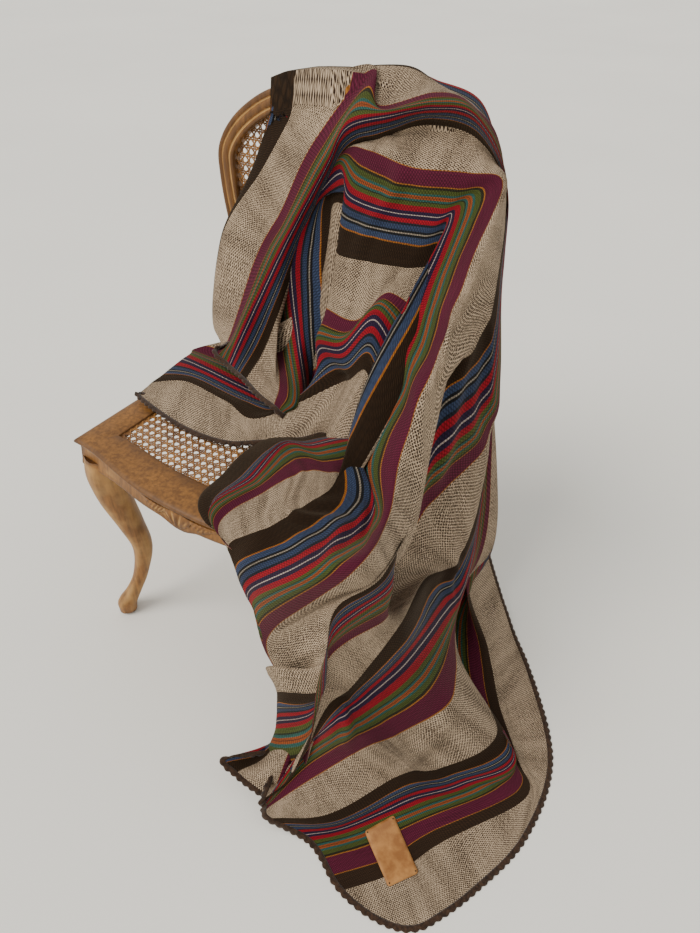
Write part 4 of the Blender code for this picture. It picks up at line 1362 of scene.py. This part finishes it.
@dataclass
class ShellCarving:
    """The carved shell in the middle of the front apron, between two leaves.

    Places along it run from -1 at its left end to 1 at its right end.
    """

    chair_frame: ChairFrame
    wood: bpy.types.Material
    rows: int = 14
    columns: int = 85
    reach: float = 0.085
    drop: float = 0.014
    leaf_place: float = 0.55
    leaf_spread: float = 0.22
    leaf_height: float = 0.016
    leaf_relief: float = 0.0055
    fan_spread: float = 0.30
    fan_height: float = 0.030
    fan_relief: float = 0.0075
    least_height: float = 0.004
    least_relief: float = 0.0015
    seat_in: float = 0.0066
    notches: float = 26.0
    notch_depth: float = 0.3
    ribs: float = 7.5
    rib_spread: float = 2.2
    rib_root: float = 1.15
    rib_rise: float = 0.9
    veins: float = 34.0
    vein_slant: float = 5.0
    end_length: float = 0.08
    roundness: float = 0.55

    def build(self) -> bpy.types.Object:
        """Carve the shell and its leaves.

        Returns:
            The carving's object.
        """
        s = np.linspace(-1, 1, self.columns)
        r = np.linspace(0, 1, self.rows)[:, None]
        x = self.reach * s + 0 * r
        leaf = np.exp(-((np.abs(s) - self.leaf_place) / self.leaf_spread) ** 2)
        fan = np.clip(1 - np.abs(s) / self.fan_spread, 0, 1) ** 0.5
        notched = 1 - self.notch_depth * np.abs(np.sin(s * self.notches))
        tall = self.least_height + self.fan_height * fan + self.leaf_height * leaf * notched
        tall = tall * np.clip((1 - np.abs(s)) / self.end_length, 0, 1) ** 0.5
        z = Seat.top - self.drop - tall * r - self.least_height * (1 - fan)
        turn = np.arctan2(s * self.rib_spread, self.rib_root - r * self.rib_rise)
        ribs = fan * (0.4 + 0.6 * np.abs(np.cos(self.ribs * turn)))
        veins = leaf * (0.5 + 0.5 * np.abs(np.sin(self.veins * s + self.vein_slant * r)))
        bell = np.sin(np.pi * np.clip(r, 0.02, 0.98)) ** self.roundness
        out = self.least_relief + bell * (self.fan_relief * ribs + self.leaf_relief * veins)
        y = Seat.front_y - Seat.bulge_at(x) + self.seat_in - out
        grid = np.stack([x, y, z + 0 * x], axis=-1)
        faces = grid_faces(self.rows, self.columns)
        carving = mesh_object(Piece.CARVING.value, grid.reshape(-1, 3), faces, self.wood)
        self.chair_frame.place(carving)
        return carving


@dataclass
class CaneWeave:
    """Six-way cane: pairs of strands both ways, and single strands on both slants.

    `carry` takes a place on the panel and a height over it to the chair's frame.
    """

    border: np.ndarray
    carry: Callable[[float, float, float], Point]
    material: bpy.types.Material
    pitch: float = 0.0145
    pair_gap: float = 0.0034
    strand: float = 0.0024
    slant_strand: float = 0.0027
    lift: float = 0.0006
    wave: float = 0.0005
    wave_shift: float = 900.0
    section: tuple[tuple[float, float], ...] = (
        (-0.5, -0.0002), (-0.3, 0.0004), (0.3, 0.0004), (0.5, -0.0002),
    )

    def crossings(self, origin: np.ndarray, way: np.ndarray) -> tuple[float, float] | None:
        """Where a line enters and leaves the border.

        Args:
            origin: A point on the line.
            way: The line's unit direction.

        Returns:
            The first and last distance along the line, or None if it misses.
        """
        side = np.array((-way[1], way[0]))
        a, b = self.border, np.roll(self.border, -1, axis=0)
        da, db = (a - origin) @ side, (b - origin) @ side
        hit = (da > 0) != (db > 0)
        if hit.sum() < 2:
            return None
        t = da[hit] / (da[hit] - db[hit])
        places = (a[hit] + t[:, None] * (b[hit] - a[hit]) - origin) @ way
        return float(places.min()), float(places.max())

    def build(self, name: str) -> bpy.types.Object:
        """Lay every strand inside the border.

        Args:
            name: The panel's name.

        Returns:
            The panel's object.
        """
        points: list[Point] = []
        faces: list[tuple] = []
        low, high = self.border.min(axis=0), self.border.max(axis=0)
        middle = (low + high) / 2
        span = float(np.linalg.norm(high - low)) / 2
        count = int(span / self.pitch) + 1
        half = self.pair_gap / 2
        slant = self.pitch / math.sqrt(2)
        families = []
        for k in range(-count, count + 1):
            for offset in (-half, half):
                families.append(((1.0, 0.0), k * self.pitch + offset, self.strand, 0.0))
                families.append(((0.0, 1.0), k * self.pitch + offset, self.strand, self.lift))
        diagonal = int(span / slant) + 1
        root = math.sqrt(0.5)
        for k in range(-diagonal, diagonal + 1):
            families.append(((root, root), (k + 0.5) * slant, self.slant_strand, 2 * self.lift))
            families.append(((root, -root), (k + 0.5) * slant, self.slant_strand, 3 * self.lift))
        for way, offset, width, height in families:
            self._strand(np.array(way), middle, offset, width, height, points, faces)
        return mesh_object(name, np.array(points), faces, self.material)

    def _strand(
        self, way: np.ndarray, middle: np.ndarray, offset: float, width: float, height: float,
        points: list[Point], faces: list[tuple],
    ) -> None:
        """Add one strand: a low rounded ribbon that waves over and under.

        Args:
            way: The strand's unit direction on the panel.
            middle: The panel's middle.
            offset: How far to the side of the middle it runs.
            width: Its width.
            height: Its layer's height.
            points: The panel's points, which grow.
            faces: The panel's faces, which grow.
        """
        side = np.array((-way[1], way[0]))
        origin = middle + offset * side
        reach = self.crossings(origin, way)
        if reach is None or reach[1] - reach[0] < width:
            return
        steps = max(2, int((reach[1] - reach[0]) / (self.pitch / 2)))
        start = len(points)
        for t in np.linspace(reach[0], reach[1], steps + 1):
            wave = self.wave * math.cos(2 * math.pi * t / self.pitch + offset * self.wave_shift)
            for share, crown in self.section:
                u, v = origin + t * way + share * width * side
                points.append(self.carry(u, v, height - 2 * self.lift + wave + crown))
        for i in range(steps):
            for j in range(3):
                a = start + 4 * i + j
                faces.append((a, a + 1, a + 5, a + 4))


@dataclass
class Legs:
    """Two cabriole front legs and two raked back legs.

    A station of a front leg is its height, how far out along the seat's diagonal it stands,
    and its radius. A station of a back leg is its height, its place backwards and its radius.
    """

    chair_frame: ChairFrame
    wood: bpy.types.Material
    plastic: bpy.types.Material
    front: tuple[Point, ...] = (
        (0.4137, 0.046, 0.036), (0.366, 0.040, 0.036), (0.309, 0.042, 0.030),
        (0.241, 0.056, 0.024), (0.175, 0.066, 0.019), (0.106, 0.050, 0.015),
        (0.060, 0.028, 0.016), (0.030, 0.010, 0.020), (0.006, 0.006, 0.018),
    )
    back: tuple[Point, ...] = (
        (0.4137, 0.205, 0.019), (0.300, 0.208, 0.018), (0.150, 0.228, 0.017), (0.006, 0.262, 0.015),
    )
    back_inset: float = 0.03
    front_squareness: float = 0.06
    back_squareness: float = 0.12
    ridge_height: float = 0.09
    ridge_width: float = 0.16
    samples: int = 60
    sides: int = 28

    def limb(
        self, name: str, stations: Sequence[Sequence[float]], turn: float, squareness: float
    ) -> bpy.types.Object:
        """A carved limb that swells and tapers.

        Args:
            name: The limb's name.
            stations: (x, y, z, radius) from the top down.
            turn: Direction that the limb's ridge faces, in radians.
            squareness: 0 for round, up to about 0.15 for squared.

        Returns:
            The limb's object.
        """
        spine = smooth_through(stations, self.samples)
        around = np.arange(self.sides) / self.sides * 2 * np.pi
        off_ridge = ((around - turn + np.pi) % (2 * np.pi)) - np.pi
        ridge = self.ridge_height * np.exp(-(off_ridge / self.ridge_width) ** 2)
        shape = 1 - squareness * np.cos(4 * (around - turn)) * 0.5 + ridge
        ring = np.stack([np.cos(around) * shape, np.sin(around) * shape], axis=-1)
        grid = np.empty((len(spine), len(around), 3))
        grid[..., :2] = spine[:, None, :2] + spine[:, 3, None, None] * ring
        grid[..., 2] = spine[:, 2, None]
        faces = grid_faces(*grid.shape[:2], close_columns=True)
        last = len(spine) * len(around)
        faces += [tuple(range(len(around))), tuple(reversed(range(last - len(around), last)))]
        faces = [tuple(reversed(f)) for f in faces]
        leg = mesh_object(name + "_carved", grid.reshape(-1, 3), faces, self.wood)
        self.chair_frame.place(leg)
        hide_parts(name)
        return leg

    def build(self) -> None:
        """Build the four legs and dress their glides."""
        half, front_y = Seat.half_width, Seat.front_y
        slant = math.sqrt(2)
        for side, word in ((-1, "left"), (1, "right")):
            diagonal = [(side * (half - o / slant), front_y + o / slant, z, r) for z, o, r in self.front]
            facing = math.atan2(-1, side)
            self.limb(f"leg_front_{word}", diagonal, facing, self.front_squareness)
            raked = [(side * (half - self.back_inset), y, z, r) for z, y, r in self.back]
            self.limb(f"leg_back_{word}", raked, math.pi / 4, self.back_squareness)
            for end in ("front", "back"):
                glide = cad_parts[f"glide_{end}_{word}"]
                glide.data.materials.clear()
                glide.data.materials.append(self.plastic)
            log.info("%s legs", word)


@dataclass
class Back:
    """The chair back: a moulded frame of rails under an arched crest, with a cane panel.

    Outline points are (half width, height over the seat) in the back's own plane.
    """

    chair_frame: ChairFrame
    wood: bpy.types.Material
    cane: bpy.types.Material
    post_wood: bpy.types.Material
    thickness: float = 0.024
    rake: float = math.atan(0.06)
    foot_y: float = 0.200
    side: tuple[tuple[float, float], ...] = (
        (0.205, 0.080), (0.226, 0.160), (0.251, 0.248), (0.263, 0.322), (0.261, 0.373),
    )
    crest: tuple[tuple[float, float], ...] = (
        (0.261, 0.373), (0.228, 0.420), (0.172, 0.460), (0.115, 0.482), (0.057, 0.493), (0.000, 0.497),
    )
    # The frame's section: how far inside the outline, and how far in front of the back's plane
    profile: tuple[tuple[float, float], ...] = (
        (0.0, -0.020), (0.0, -0.006), (0.0006, -0.003), (0.0030, 0.0006), (0.0062, 0.0016),
        (0.0094, 0.0006), (0.0108, -0.0018), (0.0122, -0.0022), (0.0138, 0.0004), (0.0176, 0.0024),
        (0.0216, 0.0022), (0.0246, -0.0002), (0.0262, -0.0024), (0.0276, -0.0022),
        (0.0290, -0.0002), (0.0322, 0.0006), (0.0350, -0.0012), (0.036, -0.0050), (0.036, -0.020),
        (0.034, -0.0235), (0.004, -0.0235),
    )
    panel_inset: float = 0.034
    corner_share: float = 0.28
    side_samples: int = 60
    foot_samples: int = 16

    def outer_loop(self) -> np.ndarray:
        """The outer outline, from the bottom left corner up, over and round.

        Returns:
            Points in the back's own plane.
        """
        right = smooth_through((*self.side, *self.crest[1:]), self.side_samples)
        over = np.concatenate([right * (-1, 1), right[::-1][1:]])
        under = np.linspace(over[-1], over[0], self.foot_samples)[1:-1]
        return np.concatenate([over, under])

    def inner_loop(self, outer: np.ndarray, inset: float) -> np.ndarray:
        """The outline moved inwards, with matching corners.

        Args:
            outer: The outer outline.
            inset: How far inside it.

        Returns:
            A point for each point of the outer outline.
        """
        bottom = self.side[0][1]
        ahead = np.roll(outer, -1, axis=0) - np.roll(outer, 1, axis=0)
        normal = np.stack([ahead[:, 1], -ahead[:, 0]], axis=1)
        normal /= np.linalg.norm(normal, axis=1)[:, None]
        middle = outer.mean(axis=0)
        inwards = np.sign(np.sum((middle - outer) * normal, axis=1))[:, None] * normal
        moved = outer + inset * inwards
        moved[:, 1] = np.maximum(moved[:, 1], bottom + inset)
        corner = np.isclose(outer[:, 1], bottom)
        limit = self.side[0][0] - inset + self.corner_share * inset
        moved[corner, 0] = np.clip(moved[corner, 0], -limit, limit)
        return moved

    def carry(self, u: float, v: float, w: float) -> Point:
        """A point of the back's own plane, with w towards the sitter, in the chair's frame."""
        cos, sin = math.cos(self.rake), math.sin(self.rake)
        return (u, self.foot_y + v * sin - w * cos, Seat.top + v * cos + w * sin)

    def build_frame(self) -> bpy.types.Object:
        """The moulded frame, with a bead and two grooves on its face.

        Returns:
            The frame's object.
        """
        outer = self.outer_loop()
        rings = []
        for inset, w in self.profile:
            rings.append([self.carry(u, v, w) for u, v in self.inner_loop(outer, inset)])
        grid = np.array(rings)
        faces = grid_faces(*grid.shape[:2], close_rows=True, close_columns=True)
        back = mesh_object(Piece.BACK.value, grid.reshape(-1, 3), faces, self.wood)
        self.chair_frame.place(back)
        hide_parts("back_crest", "back_rail_left", "back_rail_right", "back_rail_bottom")
        return back

    def build_cane(self) -> bpy.types.Object:
        """The woven panel in the back.

        Returns:
            The panel's object.
        """
        border = self.inner_loop(self.outer_loop(), self.panel_inset)
        weave = CaneWeave(border, lambda u, v, w: self.carry(u, v, w - self.thickness / 2), self.cane)
        panel = weave.build(Piece.BACK_CANE.value)
        self.chair_frame.place(panel)
        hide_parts("cane_back")
        return panel

    def build(self) -> None:
        """Build the back's frame and cane, and dress its posts."""
        for piece in (self.build_frame(), self.build_cane()):
            log.info("%s: %d faces", piece.name, len(piece.data.polygons))
        for word in ("left", "right"):
            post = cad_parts[f"back_post_{word}"]
            post.data.materials.clear()
            post.data.materials.append(self.post_wood)


# The studio


@dataclass
class Studio:
    """A plain pale floor, soft light and the camera at the photo's angle."""

    chair_frame: ChairFrame
    camera_place: Point = (0.643, -0.752, 1.163)
    pitch: float = math.radians(39.3)
    yaw: float = math.radians(32.8)
    lens: float = 27.0
    sensor: float = 36.0
    floor_size: float = 60.0
    sky_colour: Colour = (244, 243, 238)
    sky_strength: float = 0.86
    sun_colour: Colour = (255, 250, 242)
    sun_strength: float = 2.4
    sun_softness: float = math.radians(38)
    sun_turn: Point = (math.radians(38), math.radians(-20), math.radians(-8))

    def build_floor(self) -> None:
        """The floor, which isn't part of the object."""
        half = self.floor_size / 2
        corners = np.array([(-half, -half, 0), (half, -half, 0), (half, half, 0), (-half, half, 0)], float)
        finish = PlainFinish("pale_floor", (252, 250, 244), 0.9, 0.0, 0.6)
        floor = mesh_object(Piece.FLOOR.value, corners, [(0, 1, 2, 3)], finish.material(), smooth=False)

    def build_lights(self) -> None:
        """One broad soft light from the left and above, and an even sky."""
        world = bpy.data.worlds.new("studio_sky")
        bpy.context.scene.world = world
        world.use_nodes = True
        sky = world.node_tree.nodes["Background"]
        sky.inputs[0].default_value = linear(*self.sky_colour)
        sky.inputs[1].default_value = self.sky_strength
        data = bpy.data.lights.new("window", "SUN")
        data.energy = self.sun_strength
        data.angle = self.sun_softness
        data.color = linear(*self.sun_colour)[:3]
        lamp = bpy.data.objects.new("window", data)
        lamp.rotation_euler = self.sun_turn
        bpy.context.scene.collection.objects.link(lamp)

    def build_camera(self) -> None:
        """The camera, placed and turned as the photo was taken."""
        data = bpy.data.cameras.new("camera")
        data.sensor_width = self.sensor
        data.lens = self.lens
        data.dof.use_dof = False
        camera = bpy.data.objects.new("camera", data)
        camera.location = Vector(self.camera_place) + self.chair_frame.shift
        camera.rotation_euler = (math.pi / 2 - self.pitch, 0.0, self.yaw)
        bpy.context.scene.collection.objects.link(camera)
        bpy.context.scene.camera = camera

    def build(self) -> None:
        """Build the floor, the lights and the camera."""
        self.build_floor()
        self.build_lights()
        self.build_camera()
        log.info("studio ready")


# Creases placed where the photo shows them, as (along, across) in metres of cloth
CREASES: tuple[Crease, ...] = (
    # Down the flank
    Crease(((0.86, 0.43), (0.98, 0.54), (1.045, 0.635), (1.05, 0.77)), 0.0062, 0.013),
    Crease(((0.80, 0.34), (0.98, 0.449), (1.077, 0.511), (1.15, 0.52)), 0.0052, 0.011),
    Crease(((0.93, 0.53), (0.98, 0.635), (0.93, 0.80), (0.91, 0.95)), -0.0055, 0.014),
    Crease(((1.02, 0.70), (1.09, 0.80), (1.16, 0.86)), 0.0050, 0.012),
    # Over the knee and down the front
    Crease(((1.19, 0.20), (1.238, 0.356), (1.31, 0.46)), 0.0045, 0.014),
    Crease(((1.13, 0.33), (1.20, 0.40), (1.27, 0.47)), -0.0042, 0.012),
    Crease(((1.24, 0.25), (1.34, 0.33), (1.44, 0.38)), 0.0040, 0.015),
    Crease(((1.45, 0.80), (1.53, 0.88), (1.60, 0.93)), 0.0042, 0.011),
    Crease(((1.50, 0.56), (1.60, 0.58), (1.69, 0.60)), 0.0040, 0.012),
    # Round the curl at the foot of the fall, and out over the floor
    Crease(((1.60, 1.07), (1.43, 1.037), (1.34, 1.037)), 0.0058, 0.015),
    Crease(((1.60, 1.04), (1.40, 0.975), (1.28, 0.944)), 0.0054, 0.012),
    Crease(((1.62, 1.09), (1.52, 1.12), (1.42, 1.13)), -0.0040, 0.012),
    Crease(((1.15, 1.21), (1.33, 1.22), (1.38, 1.28)), 0.0034, 0.013),
    Crease(((1.40, 1.16), (1.54, 1.22), (1.62, 1.24)), 0.0032, 0.012),
    # On the back of the chair
    Crease(((0.54, 0.30), (0.562, 0.449), (0.46, 0.61)), 0.0044, 0.012),
    Crease(((0.22, 0.34), (0.33, 0.37), (0.46, 0.36)), -0.0040, 0.012),
)


def main() -> None:
    """Build the chair, the throw and the studio, and report each."""
    logging.basicConfig(level=logging.INFO, format="%(message)s")
    chair_frame = ChairFrame.from_frame(Seat.half_width, Seat.back_y)
    wood = WaxedWood().material()
    cane = SplitCane().material()
    plastic = PlainFinish("glide_plastic", (206, 202, 192), 0.5).material()
    Seat(chair_frame, wood, cane).build()
    Legs(chair_frame, wood, plastic).build()
    Back(chair_frame, wood, cane, WaxedWood("post_wood", wear=0.0).material()).build()
    Throw(chair_frame, creases=CREASES).build()
    Studio(chair_frame).build()


if __name__ == "__main__":
    main()
